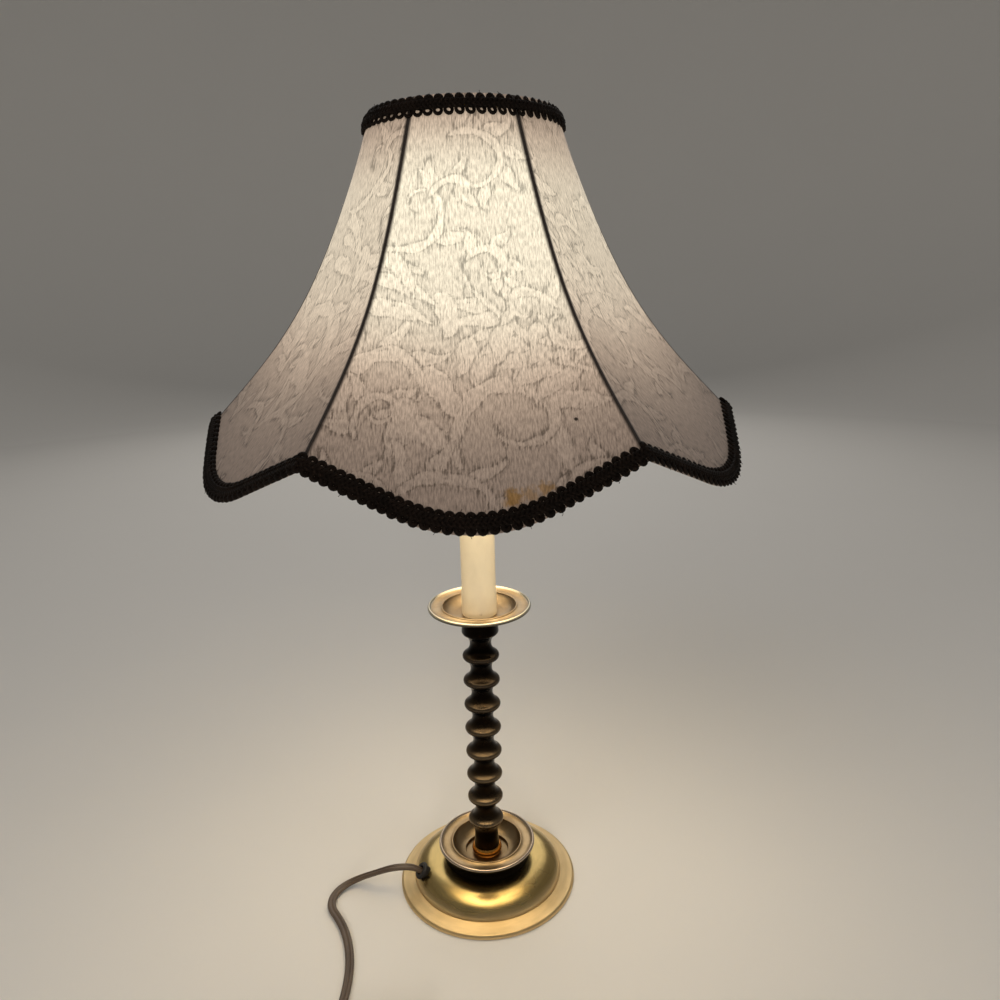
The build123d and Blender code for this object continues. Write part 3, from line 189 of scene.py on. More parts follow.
def curve_mesh(points, radius=0.0, closed=False, section=None, smooth=False, tilts=None):
    """Mesh of a curve along points: a bare line, a round tube or a tube of another section."""
    curve = bpy.data.curves.new("line", "CURVE")
    curve.dimensions = "3D"
    curve.twist_mode = "Z_UP"
    curve.resolution_u = 6
    spline = curve.splines.new("NURBS" if smooth else "POLY")
    spline.points.add(len(points) - 1)
    for index, place in enumerate(points):
        spline.points[index].co = (*place, 1.0)
        if tilts:
            spline.points[index].tilt = tilts[index]
    if smooth:
        spline.order_u = 3
        spline.use_endpoint_u = True
    spline.use_cyclic_u = closed
    outline = None
    if section:
        outline = section_object(section)
        curve.bevel_mode = "OBJECT"
        curve.bevel_object = outline
        curve.use_fill_caps = not closed
    elif radius:
        curve.bevel_depth = radius
        curve.bevel_resolution = 1
        curve.use_fill_caps = not closed
    holder = bpy.data.objects.new("line", curve)
    bpy.context.scene.collection.objects.link(holder)
    bpy.context.view_layer.update()
    graph = bpy.context.evaluated_depsgraph_get()
    mesh = bpy.data.meshes.new_from_object(holder.evaluated_get(graph))
    bpy.data.objects.remove(holder)
    if outline:
        bpy.data.objects.remove(outline)
    return mesh


def section_object(points):
    """Closed flat outline for the section of a tube."""
    curve = bpy.data.curves.new("section", "CURVE")
    curve.dimensions = "2D"
    spline = curve.splines.new("POLY")
    spline.points.add(len(points) - 1)
    for index, place in enumerate(points):
        spline.points[index].co = (*place, 0.0, 1.0)
    spline.use_cyclic_u = True
    holder = bpy.data.objects.new("section", curve)
    bpy.context.scene.collection.objects.link(holder)
    return holder


def lathe(profile, steps):
    """Closed turned shape from a closed outline of (radius, height) points, in metres."""
    shape = bmesh.new()
    verts = [shape.verts.new((radius, 0.0, height)) for radius, height in profile]
    for here, there in zip(verts, verts[1:] + verts[:1]):
        shape.edges.new((here, there))
    bmesh.ops.spin(
        shape,
        geom=shape.verts[:] + shape.edges[:],
        cent=(0, 0, 0),
        axis=(0, 0, 1),
        angle=math.tau,
        steps=steps,
        use_merge=True,
    )
    bmesh.ops.remove_doubles(shape, verts=shape.verts[:], dist=1e-6)
    bmesh.ops.recalc_face_normals(shape, faces=shape.faces[:])
    return shape


# Finishes

class Finish:
    """One procedural finish: its shader, and short calls for the nodes that drive it."""

    def __init__(self, name, **fixed):
        self.material = bpy.data.materials.new(name)
        self.material.use_nodes = True
        self.tree = self.material.node_tree
        self.shader = self.tree.nodes["Principled BSDF"]
        for socket, value in fixed.items():
            self.set(socket.replace("_", " "), value)

    def set(self, socket, value):
        """Puts a number, a colour or another node's output on a socket of the shader."""
        self.put(self.shader.inputs[socket], value)

    def put(self, socket, value):
        """Links another node's output to a socket, or sets the socket's own value."""
        if isinstance(value, bpy.types.NodeSocket):
            self.tree.links.new(value, socket)
        elif socket.type == "RGBA":
            colour = value if isinstance(value, tuple) else (value, value, value)
            socket.default_value = (*colour, 1.0)
        else:
            socket.default_value = value

    def node(self, kind, sockets=(), **settings):
        """New node with its settings, and with values or links on its sockets."""
        made = self.tree.nodes.new(kind)
        for key, value in settings.items():
            setattr(made, key, value)
        for key, value in dict(sockets).items():
            self.put(made.inputs[key], value)
        return made

    def place(self, stretch=(1, 1, 1), uv=None):
        """Object coordinates in metres, or the named UV map, stretched."""
        if uv:
            source = self.node("ShaderNodeUVMap", uv_map=uv).outputs[0]
        else:
            source = self.coordinate()
        return self.node("ShaderNodeMapping", {"Vector": source, "Scale": stretch}).outputs[0]

    def noise(self, place, scale, detail=4.0, roughness=0.55):
        sockets = {"Vector": place, "Scale": scale, "Detail": detail, "Roughness": roughness}
        return self.node("ShaderNodeTexNoise", sockets).outputs[0]

    def spread(self, value, low, high, out_low=0.0, out_high=1.0):
        """Smooth step of a value from one range to another."""
        sockets = {"Value": value, "From Min": low, "From Max": high}
        sockets.update({"To Min": out_low, "To Max": out_high})
        return self.node("ShaderNodeMapRange", sockets, interpolation_type="SMOOTHSTEP").outputs[0]

    def mix(self, share, first, second, how="MIX"):
        made = self.node("ShaderNodeMix", data_type="RGBA", blend_type=how)
        self.put(made.inputs[0], share)
        self.put(made.inputs[6], first)
        self.put(made.inputs[7], second)
        return made.outputs[2]

    def tint(self, colour, strength):
        """Colour times a strength."""
        return self.mix(1.0, colour, strength, "MULTIPLY")

    def math(self, how, first, second):
        return self.node("ShaderNodeMath", {0: first, 1: second}, operation=how).outputs[0]

    def times(self, first, second):
        return self.math("MULTIPLY", first, second)

    def plus(self, first, second):
        return self.math("ADD", first, second)

    def larger(self, first, second):
        return self.math("MAXIMUM", first, second)

    def attribute(self, name):
        return self.node("ShaderNodeAttribute", attribute_name=name).outputs["Fac"]

    def coordinate(self, name="Object"):
        return self.node("ShaderNodeTexCoord").outputs[name]

    def height(self):
        """Height over the floor, in metres."""
        return self.node("ShaderNodeSeparateXYZ", {0: self.coordinate()}).outputs[2]

    def reach(self):
        """Distance from the lamp's axis, in metres."""
        sockets = {0: self.coordinate(), 1: (1, 1, 0)}
        level = self.node("ShaderNodeVectorMath", sockets, operation="MULTIPLY").outputs[0]
        return self.node("ShaderNodeVectorMath", {0: level}, operation="LENGTH").outputs["Value"]

    def up(self):
        """How far the surface faces up: 1 on top, 0 on a wall, -1 underneath."""
        return self.node("ShaderNodeSeparateXYZ", {0: self.coordinate("Normal")}).outputs[2]

    def near(self, centre):
        """Distance from a point, in metres."""
        sockets = {0: self.coordinate(), 1: centre}
        return self.node("ShaderNodeVectorMath", sockets, operation="DISTANCE").outputs["Value"]

    def bump(self, height, depth):
        """Relief of a depth in metres."""
        made = self.node("ShaderNodeBump", {"Height": height, "Distance": depth, "Strength": 1.0})
        self.set("Normal", made.outputs[0])


def brass(name, bright, tarnish, roughness):
    """Turned brass: cloudy tarnish, faint turning lines and uneven gloss."""
    finish = Finish(name, Metallic=1.0)
    cloud = finish.noise(finish.place(), 38.0, 6.0, 0.62)
    lines = finish.noise(finish.place((60, 60, 1400)), 1.0, 2.0)
    patches = finish.spread(cloud, 0.37, 0.7)
    colour = finish.mix(patches, bright, tarnish)
    shade = finish.spread(lines, 0.3, 0.7, 0.93, 1.05)
    finish.set("Base Color", finish.tint(colour, shade))
    finish.set("Roughness", finish.spread(cloud, 0.3, 0.72, roughness * 0.8, roughness * 1.35))
    finish.bump(lines, 0.00001)
    return finish.material


def antique_brass():
    """Dark bronzed spindle: near black above, browner below, worn through on the bead tips, with
    painted shade on faces turned down and a painted highlight on the upward faces of the lower beads.
    """
    finish = Finish("antique_brass", Metallic=1.0)
    cloud = finish.noise(finish.place(), 60.0, 5.0, 0.6)
    edge = finish.plus(finish.reach(), finish.times(cloud, 0.0012))
    rubbed_and_shaded = finish.spread(edge, 0.0092, 0.0128)
    rubbed_and_shaded = finish.times(rubbed_and_shaded, finish.spread(finish.height(), 0.184, 0.170))
    # painted shade: the worn colour fades out on faces turned down
    rubbed_and_shaded = finish.times(rubbed_and_shaded, finish.spread(finish.up(), -0.3, 0.25, 0.1, 1.0))
    lower = finish.spread(finish.height(), 0.17, 0.06)
    dark = finish.mix(lower, (0.005, 0.0034, 0.0022), (0.015, 0.009, 0.0045))
    # painted highlight: upward faces of the lower beads take a lighter brown, as if lit from above
    painted_top_light = finish.spread(finish.up(), 0.15, 0.75)
    painted_top_light = finish.times(painted_top_light, finish.spread(finish.height(), 0.178, 0.158))
    dark = finish.mix(painted_top_light, dark, (0.042, 0.028, 0.016))
    worn = finish.mix(lower, (0.096, 0.071, 0.049), (0.22, 0.160, 0.096))
    finish.set("Base Color", finish.mix(rubbed_and_shaded, dark, worn))
    finish.set("Roughness", finish.spread(cloud, 0.3, 0.7, 0.24, 0.38))
    finish.bump(cloud, 0.00003)
    return finish.material


def dull_brass():
    """Dished brass: dull dish with painted shade darkening the bowl, a paler lip (worn brass and a
    painted highlight), and painted near-black shade on faces not turned up and on the cup's outer wall
    below its waist.
    """
    finish = Finish("dull_brass", Metallic=1.0)
    cloud = finish.noise(finish.place(), 55.0, 6.0, 0.62)
    reach = finish.reach()
    lip = finish.spread(reach, 0.0309, 0.0322)
    up = finish.up()
    pan = finish.spread(finish.height(), 0.10, 0.15)
    clear = finish.mix(pan, (0.48, 0.345, 0.19), (0.40, 0.305, 0.19))
    cloudy = finish.mix(pan, (0.35, 0.24, 0.12), (0.31, 0.225, 0.132))
    dish = finish.mix(finish.spread(cloud, 0.35, 0.7), clear, cloudy)
    # painted shade: the bowl darkens towards its floor, more in the cup than in the pan
    bowl = finish.times(finish.spread(reach, 0.0250, 0.0230), finish.mix(pan, 0.34, 0.18))
    dish = finish.mix(bowl, dish, (0.055, 0.032, 0.014))
    # painted shade: near black on faces not turned up, and on the cup's outer wall below its waist
    foot = finish.spread(finish.height(), CUP_WAIST + 0.001, CUP_WAIST)
    foot = finish.times(foot, finish.spread(reach, 0.0255, 0.0262))
    inside = finish.times(finish.spread(up, 0.05, 0.4), finish.math("SUBTRACT", 1.0, foot))
    painted_shade_outside = finish.mix(pan, (0.010, 0.007, 0.004), (0.085, 0.070, 0.045))
    dish = finish.mix(inside, painted_shade_outside, dish)
    # the lip is paler where it faces up: worn brass and a painted highlight
    lip_wear_and_highlight = finish.times(lip, finish.spread(up, -0.1, 0.3))
    bright = finish.mix(pan, (0.60, 0.48, 0.36), (0.66, 0.60, 0.46))
    finish.set("Base Color", finish.mix(lip_wear_and_highlight, dish, bright))
    finish.set("Roughness", finish.mix(lip, finish.spread(cloud, 0.3, 0.7, 0.30, 0.44), 0.22))
    finish.bump(cloud, 0.00003)
    return finish.material


def base_brass():
    """Satin base: paler flange, dome painted darker olive for its darker reflections, painted shade
    where the cup stands on it.
    """
    finish = Finish("base_brass", Metallic=1.0)
    cloud = finish.noise(finish.place(), 38.0, 2.5, 0.5)
    lines = finish.noise(finish.place((60, 60, 1400)), 1.0, 2.0)
    reach = finish.plus(finish.reach(), finish.times(cloud, 0.004))
    patches = finish.spread(cloud, 0.42, 0.72)
    flange = finish.mix(patches, (0.76, 0.575, 0.31), (0.67, 0.50, 0.26))
    # painted reflection: the dome is darker olive than the flange, standing in for the darker
    # surroundings it mirrors
    dome = finish.mix(patches, (0.60, 0.435, 0.172), (0.47, 0.335, 0.128))
    outer = finish.spread(reach, 0.0500, 0.0545)
    colour = finish.mix(outer, dome, flange)
    # painted shade: near black on the dome just round the cup's foot
    colour = finish.mix(finish.spread(reach, 0.0325, 0.0308), colour, (0.05, 0.033, 0.014))
    finish.set("Base Color", finish.tint(colour, finish.spread(lines, 0.3, 0.7, 0.94, 1.04)))
    finish.set("Roughness", finish.mix(outer, finish.spread(cloud, 0.3, 0.72, 0.20, 0.28), 0.48))
    finish.bump(lines, 0.00001)
    return finish.material


def plain(name, colour, deeper, roughness, grain, relief, metallic):
    """Moulded, plated or rubbery finish with a fine uneven surface."""
    finish = Finish(name, Metallic=metallic)
    cloud = finish.noise(finish.place(), 45.0, 5.0)
    fine = finish.noise(finish.place(), grain, 3.0)
    finish.set("Base Color", finish.mix(finish.spread(cloud, 0.35, 0.7), colour, deeper))
    duller = min(1.0, roughness * 1.15)
    finish.set("Roughness", finish.spread(fine, 0.3, 0.7, roughness * 0.88, duller))
    finish.bump(fine, relief)
    return finish.material


def candle_sleeve():
    """Cream sleeve: grey and pinkish clouding, and small brown scorch marks at its foot."""
    finish = Finish("candle_sleeve", Specular_IOR_Level=0.4)
    cloud = finish.noise(finish.place((1, 1, 0.45)), 85.0, 5.0)
    blotch = finish.noise(finish.place((1, 1, 0.5)), 48.0, 2.0)
    cream = finish.mix(finish.spread(cloud, 0.35, 0.68), (0.72, 0.63, 0.46), (0.66, 0.575, 0.42))
    cream = finish.mix(finish.spread(blotch, 0.52, 0.75, 0.0, 0.35), cream, (0.56, 0.48, 0.37))
    foot = finish.spread(finish.height(), 0.2082, 0.2045)
    specks = finish.spread(finish.noise(finish.place(), 210.0, 3.0), 0.55, 0.7)
    finish.set("Base Color", finish.mix(finish.times(foot, specks), cream, (0.13, 0.06, 0.02)))
    finish.set("Roughness", finish.spread(cloud, 0.3, 0.7, 0.42, 0.58))
    finish.bump(blotch, 0.00008)
    return finish.material


def fabric_face():
    """Beige damask: leaves hatched along their edges, painted shadow of the rib wires over the seams,
    lit through by the bulb.
    """
    finish = Finish("shade_fabric", Roughness=0.88, Specular_IOR_Level=0.2, Sheen_Weight=0.12)

    def weave(across, along, detail):
        """Threads of the cloth: noise with so many waves in a millimetre each way."""
        place = finish.place((WEAVE_SPAN * across, WEAVE_SPAN * along, 1), "weave")
        return finish.noise(place, 1.0, detail, 0.6)

    slub = weave(1.05, 0.13, 4.0)
    thread = weave(1.25, 0.26, 3.0)
    patch = weave(0.2, 0.11, 2.0)
    leaf = finish.attribute("leaf")
    lit = finish.attribute("lit")
    near_edge = finish.times(finish.attribute("line"), finish.spread(patch, 0.30, 0.60, 0.17, 0.34))
    stroke = finish.plus(slub, finish.math("SUBTRACT", near_edge, finish.times(leaf, 0.03)))
    dark = finish.spread(stroke, 0.54, 0.78)
    grain = finish.spread(thread, 0.3, 0.7, 0.74, 1.24)
    ground = finish.mix(leaf, (0.238, 0.180, 0.147), (0.276, 0.212, 0.174))
    ground = finish.mix(finish.times(dark, 0.80), ground, (0.050, 0.034, 0.025))
    ground = finish.tint(ground, grain)
    # painted shadow of the rib wires: near black over each seam
    wander = finish.plus(finish.attribute("seam"), finish.times(slub, 0.7))
    seam = finish.spread(wander, 3.1, 0.9)
    ground = finish.mix(finish.times(seam, 0.95), ground, (0.012, 0.008, 0.006))
    ragged = finish.times(finish.noise(finish.place(), 230.0, 4.0, 0.65), 0.013)
    ragged = finish.plus(ragged, finish.times(slub, 0.004))
    blot = finish.spread(finish.plus(finish.near(STAIN_SPOT), ragged), 0.0155, 0.0105)
    drip = finish.spread(finish.plus(finish.near(STAIN_DRIP), ragged), 0.0125, 0.0098, 0.0, 0.8)
    smear = finish.spread(finish.plus(finish.near(STAIN_SMEAR), ragged), 0.0140, 0.0098, 0.0, 0.6)
    blot = finish.larger(blot, finish.larger(drip, smear))
    ochre = finish.tint((0.205, 0.102, 0.017), grain)
    ground = finish.mix(finish.times(blot, 0.8), ground, ochre)
    ink = finish.spread(finish.near(INK_SPOT), 0.0011, 0.0007)
    ground = finish.mix(finish.times(ink, 0.9), ground, (0.02, 0.014, 0.01))
    finish.set("Base Color", ground)
    warm = finish.mix(finish.spread(lit, 0.2, 1.0), (1.0, 0.75, 0.54), (1.0, 0.92, 0.70))
    through = finish.mix(leaf, 0.97, 1.07)
    through = finish.mix(finish.times(dark, 0.68), through, 0.26)
    through = finish.tint(finish.tint(warm, through), grain)
    # the painted rib shadow, and the ink spot, block the glow
    through = finish.mix(finish.larger(seam, ink), through, (0.0, 0.0, 0.0))
    through = finish.mix(finish.times(blot, 0.6), through, finish.tint(ochre, 1.9))
    finish.set("Emission Color", through)
    finish.set("Emission Strength", finish.times(lit, GLOW_STRENGTH))
    finish.bump(finish.plus(thread, finish.times(leaf, 0.8)), 0.00012)
    finish.material.cycles.emission_sampling = "NONE"
    return finish.material


def fabric_lining():
    """Pale stiff lining, bright where the bulb shines on it."""
    finish = Finish("shade_lining", Roughness=0.7, Specular_IOR_Level=0.3)
    fine = finish.noise(finish.place((1, 1, 0.4)), 500.0, 3.0)
    cloud = finish.noise(finish.place(), 30.0, 4.0)
    pale = finish.mix(finish.spread(cloud, 0.35, 0.7), (0.68, 0.62, 0.52), (0.58, 0.51, 0.41))
    finish.set("Base Color", pale)
    finish.set("Emission Color", (1.0, 0.86, 0.62))
    lit = finish.spread(finish.attribute("lit"), 0.0, 0.74, 0.45 * LINING_STRENGTH, LINING_STRENGTH)
    finish.set("Emission Strength", lit)
    finish.bump(fine, 0.00006)
    finish.material.cycles.emission_sampling = "NONE"
    return finish.material


def braid_yarn():
    """Very dark brown twisted yarn, with lighter flecks as painted glints."""
    finish = Finish("braid", Roughness=0.66, Specular_IOR_Level=0.16)
    twist_and_glints = finish.noise(finish.place(), 900.0, 3.0)
    cloud = finish.noise(finish.place(), 60.0, 4.0)
    brown = finish.spread(cloud, 0.4, 0.75)
    yarn = finish.mix(brown, (0.0036, 0.0021, 0.0013), (0.0076, 0.0043, 0.0027))
    # painted glints: lighter flecks along the twist
    yarn = finish.mix(finish.spread(twist_and_glints, 0.5, 0.75, 0.0, 0.5), yarn, (0.030, 0.017, 0.011))
    finish.set("Base Color", yarn)
    finish.bump(twist_and_glints, 0.0002)
    return finish.material


def lit_diffuser():
    """Frosted bulb cover, lit from inside."""
    finish = Finish("bulb_diffuser", Roughness=0.4)
    fine = finish.noise(finish.place(), 300.0, 2.0)
    finish.set("Base Color", finish.mix(fine, (0.88, 0.86, 0.80), (0.82, 0.79, 0.72)))
    finish.set("Emission Color", (1.0, 0.84, 0.60))
    finish.set("Emission Strength", BULB_STRENGTH)
    return finish.material


# Turned brass: bright, tarnished, roughness
BRASSES = {
    "gold_brass": ((0.62, 0.30, 0.065), (0.40, 0.17, 0.035), 0.22),
    "harp_brass": ((0.52, 0.38, 0.16), (0.36, 0.25, 0.11), 0.34),
    "socket_brass": ((0.66, 0.48, 0.20), (0.52, 0.36, 0.14), 0.24),
    "contact_brass": ((0.62, 0.44, 0.18), (0.46, 0.31, 0.12), 0.3),
}

# Plain finishes: colour, deeper colour, roughness, grain, relief, how metallic
PLAIN = {
    "felt": ((0.012, 0.010, 0.008), (0.02, 0.017, 0.013), 0.95, 1500.0, 0.0003, 0.0),
    "ballast": ((0.03, 0.03, 0.03), (0.05, 0.045, 0.04), 0.75, 400.0, 0.0002, 0.6),
    "zinc_steel": ((0.48, 0.48, 0.46), (0.36, 0.35, 0.32), 0.36, 700.0, 0.00003, 1.0),
    "liner_card": ((0.13, 0.095, 0.06), (0.09, 0.065, 0.04), 0.9, 600.0, 0.0001, 0.0),
    "switch_plastic": ((0.010, 0.009, 0.009), (0.016, 0.014, 0.013), 0.42, 900.0, 0.00003, 0.0),
    "knob_plastic": ((0.013, 0.009, 0.007), (0.022, 0.015, 0.011), 0.24, 500.0, 0.00002, 0.0),
    "screw_shell": ((0.60, 0.58, 0.52), (0.46, 0.44, 0.40), 0.3, 700.0, 0.00002, 1.0),
    "bulb_cap_metal": ((0.62, 0.62, 0.61), (0.50, 0.49, 0.47), 0.28, 700.0, 0.00002, 1.0),
    "bulb_white": ((0.74, 0.74, 0.72), (0.66, 0.65, 0.62), 0.42, 900.0, 0.00003, 0.0),
    "frame_wire": ((0.022, 0.017, 0.013), (0.04, 0.03, 0.022), 0.45, 600.0, 0.00004, 0.0),
    "bushing_rubber": ((0.010, 0.009, 0.009), (0.022, 0.020, 0.018), 0.6, 260.0, 0.0005, 0.0),
    "cord_cover": ((0.070, 0.046, 0.030), (0.098, 0.068, 0.045), 0.42, 500.0, 0.00008, 0.0),
    "plug_rubber": ((0.050, 0.033, 0.023), (0.066, 0.046, 0.033), 0.5, 700.0, 0.00008, 0.0),
    "tie_plastic": ((0.012, 0.011, 0.011), (0.018, 0.017, 0.016), 0.5, 600.0, 0.00005, 0.0),
}

finishes = {
    "base_brass": base_brass(),
    "dull_brass": dull_brass(),
    "antique_brass": antique_brass(),
    "candle_sleeve": candle_sleeve(),
    "bulb_diffuser": lit_diffuser(),
    "shade_fabric": fabric_face(),
    "braid": braid_yarn(),
}
finishes.update({name: brass(name, *values) for name, values in BRASSES.items()})
finishes.update({name: plain(name, *values) for name, values in PLAIN.items()})
lining = fabric_lining()


# Solids that stay as they are, with their finishes

def dress_solids():
    """Gives every solid its finish, and rounds the shading of its facets."""
    slots = {row["node"]: row["material_slot"] for row in frame["record"]["subparts"]}
    for name, solid in nodes.items():
        solid.data.materials.clear()
        solid.data.materials.append(finishes[slots[name]])
        solid.data.shade_smooth()
        weld = solid.modifiers.new("weld", "WELD")
        weld.merge_threshold = 1e-6
        split = solid.modifiers.new("edges", "EDGE_SPLIT")
        split.split_angle = SOLID_EDGE


# Shade

def rib_radius(drop):
    """Distance of the fabric's corner from the axis, at a drop below the shade's top."""
    swell = SHADE_FLARE / (1 + np.exp((SHADE_FLARE_DROP - drop) / SHADE_FLARE_SPREAD))
    return SHADE_TOP_RADIUS + SHADE_SLOPE * drop + swell


def panel_bulge(drop):
    """How far a panel's middle stands out of the line between its ribs."""
    full = rib_radius(drop) * (1 - math.cos(HALF_SIDE))
    left = np.clip(1 - (drop - SHADE_ROUND_DROP) / SHADE_FACET_DROP, 0, 1)
    return np.maximum(SHADE_LEAST_BULGE, full * left ** 2)


def panel_place(across, drop, lift=0.0):
    """Points of the front panel, across from -1 to 1, and how far each lies from its middle line."""
    far = rib_radius(drop) * math.cos(HALF_SIDE) + lift
    wide = far * math.tan(HALF_SIDE) - SEAM_GAP
    bulge = panel_bulge(drop)
    radius = (wide ** 2 + bulge ** 2) / (2 * bulge)
    turn = across * np.arcsin(wide / radius)
    depth = far + bulge - radius + radius * np.cos(turn)
    return np.stack([radius * np.sin(turn), -depth, SHADE_TOP - drop], axis=-1), radius * turn


def scallop_height(across):
    """Height of the trim's lower edge at a distance from a panel's middle."""
    angle = math.atan(SCALLOP_SLOPE)
    corner = rib_radius(SHADE_CORNER_DROP) * math.sin(HALF_SIDE)
    vertex = SHADE_TOP - SHADE_CORNER_DROP - corner * SCALLOP_SLOPE
    inside = np.minimum(np.abs(across), SCALLOP_ROUND * math.sin(angle))
    round_part = vertex + SCALLOP_ROUND / math.cos(angle) - np.sqrt(SCALLOP_ROUND ** 2 - inside ** 2)
    straight = vertex + np.abs(across) * SCALLOP_SLOPE
    return np.where(np.abs(across) > SCALLOP_ROUND * math.sin(angle), straight, round_part)


def hem_drop(across, rise):
    """Drop of a line that keeps a height over the scalloped edge, at shares across the panel."""
    drop = np.full_like(across, SHADE_CORNER_DROP)
    for _ in range(HEM_ROUNDS):
        place, _ = panel_place(across, drop)
        drop = SHADE_TOP - scallop_height(place[..., 0]) - rise
    return drop


def slant_length(drop):
    """Length down the fabric's slope from the top to a drop."""
    drops = np.linspace(0, SHADE_LOWEST_DROP, SLANT_SAMPLES)
    run = np.hypot(np.gradient(rib_radius(drops) * math.cos(HALF_SIDE), drops), 1.0)
    lengths = np.cumsum((run[1:] + run[:-1]) / 2 * np.diff(drops))
    return np.interp(drop, drops, np.concatenate([[0], lengths]))


def frond(start, heading, length, bend, curl, width):
    """Tapered stroke of a leaf: x, y and half width along a line that curls towards its tip."""
    count = max(8, int(length / FROND_STEP))
    share = np.linspace(0, 1, count)
    way = heading + bend * share + curl * share ** 3
    step = length / count
    x = start[0] + np.cumsum(np.cos(way)) * step
    y = start[1] + np.cumsum(np.sin(way)) * step
    half = width * (0.25 + np.sin(math.pi * share ** 0.75)) * (1 - 0.25 * share)
    half *= 1 + 0.16 * np.sin(share * length / 2.6)
    return np.stack([x, y, half], axis=-1), way


def scroll(start, heading, length, bend, curl, width, lobes):
    """Acanthus scroll: a stem that rolls up at its tip, with curled fingers along its outer side."""
    angles = [math.radians(angle) for angle in (heading, bend, curl)]
    stem, way = frond(start, angles[0], length, angles[1], angles[2], width)
    side = -math.copysign(1, bend)
    strokes = []
    for index in range(lobes):
        share = 0.1 + 0.62 * index / max(1, lobes - 1)
        at = int(share * (len(stem) - 1))
        reach = (0.36 - 0.16 * share) * length
        lean = way[at] + side * math.radians(66 - 26 * share)
        strokes.append(frond(stem[at, :2], lean, reach, -0.8 * side, 1.5 * side, 0.11 * reach + 0.9)[0])
    return strokes + [stem]


# Scrolls and leaves of one damask repeat:
# start across and down, heading, length, bend, curl, half width, fingers
DAMASK = [
    (74, 197, -120, 128, 235, 150, 3.6, 6),
    (18, 174, -115, 86, 165, 80, 4.6, 5),
    (26, 180, -130, 62, 250, 200, 2.2, 4),
    (45, 160, 80, 34, 30, 40, 6.0, 0),
    (140, 150, -155, 92, 26, 20, 2.2, 7),
    (64, 103, 65, 24, 30, 30, 5.4, 0),
    (98, 96, 70, 23, 25, 40, 6.2, 0),
    (75, 127, 75, 22, 20, 40, 4.6, 0),
    (92, 123, 75, 21, 20, 40, 5.0, 0),
    (109, 121, 75, 21, 20, 30, 4.6, 0),
    (32, 86, 5, 26, 8, 20, 2.8, 0),
    (32, 95, 15, 36, 8, 25, 4.0, 0),
    (27, 108, 20, 34, -15, 30, 4.4, 0),
    (30, 80, 5, 80, -70, -270, 2.0, 3),
    (76, 88, -60, 48, 200, 170, 2.4, 4),
    (70, 22, -20, 64, 170, 130, 2.2, 5),
    (60, 54, -80, 42, 150, 210, 2.0, 3),
    (40, 212, -50, 74, 130, 70, 2.6, 4),
    (122, 112, -120, 48, -140, -170, 2.4, 3),
    (138, 132, 170, 38, 60, 150, 2.8, 4),
    (6, 206, -40, 52, 100, 170, 3.0, 3),
    (150, 214, -100, 54, -120, -160, 2.6, 3),
    (122, 62, -70, 66, 120, 210, 3.0, 4),
    (34, 50, -110, 58, -120, -190, 3.0, 4),
    (2, 120, -80, 60, -90, -200, 3.0, 4),
]


def damask_strokes():
    """Every stroke of one repeat."""
    strokes = []
    for across, down, heading, length, bend, curl, width, lobes in DAMASK:
        strokes += scroll((across, down), heading, length, bend, curl, width, lobes)
    return strokes


def damask_tile():
    """Two maps of one repeat of the weave: how far a spot is leaf, and how near a leaf's edge it is."""
    columns, rows = round(TILE_WIDTH / TILE_STEP), round(TILE_HEIGHT / TILE_STEP)
    x, y = np.meshgrid(np.arange(columns) * TILE_STEP, np.arange(rows) * TILE_STEP)
    leaf = np.zeros_like(x)
    line = np.zeros_like(x)
    for stroke in damask_strokes():
        for shift_x in (-TILE_WIDTH, 0, TILE_WIDTH):
            for shift_y in (-TILE_HEIGHT, 0, TILE_HEIGHT):
                moved = stroke + np.array([shift_x, shift_y, 0])
                low = (moved[:, :2].min(0) - STROKE_MARGIN) / TILE_STEP
                high = (moved[:, :2].max(0) + STROKE_MARGIN) / TILE_STEP
                left, right = np.clip([low[0], high[0]], 0, columns).astype(int)
                top, bottom = np.clip([low[1], high[1]], 0, rows).astype(int)
                if right <= left or bottom <= top:
                    continue
                part = np.s_[top:bottom, left:right]
                away = np.hypot(x[part][..., None] - moved[:, 0], y[part][..., None] - moved[:, 1])
                gap = (away - moved[:, 2]).min(-1)
                leaf[part] = np.maximum(leaf[part], np.clip(0.5 - gap / LEAF_SOFTNESS, 0, 1))
                edge = np.clip(1 - np.abs(gap) / EDGE_WIDTH, 0, 1)
                vein = VEIN_SHARE * np.clip(1 - np.abs(gap + VEIN_INSET) / VEIN_WIDTH, 0, 1)
                halo = HALO_SHARE * np.clip(1 - np.abs(gap - HALO_MIDDLE) / HALO_WIDTH, 0, 1)
                hidden = np.clip(gap / EDGE_WIDTH + 0.6, 0.15, 1)
                line[part] = np.maximum(line[part] * hidden, np.maximum(np.maximum(edge, vein), halo))
    return leaf, line


def from_tile(tile, x, y):
    """Value of a repeating map at places in millimetres, smoothed between its steps."""
    rows, columns = tile.shape
    across, down = x / TILE_STEP, y / TILE_STEP
    left, top = np.floor(across).astype(int), np.floor(down).astype(int)
    part_x, part_y = across - left, down - top

    def along(row):
        row = row % rows
        return tile[row, left % columns] * (1 - part_x) + tile[row, (left + 1) % columns] * part_x

    return along(top) * (1 - part_y) + along(top + 1) * part_y


def bulb_glow(drop, aside, half_gone):
    """Share of the bulb's light that shows through the fabric: even high up, falling lower down."""
    low = 1 / (1 + np.exp((drop + GLOW_SIDE_DROP * aside ** 2 - half_gone) / GLOW_FADE))
    top = np.clip(1 - drop / GLOW_TOP_REACH, 0, 1)
    return low * (1 - GLOW_TOP_LOSS * top ** 1.5)


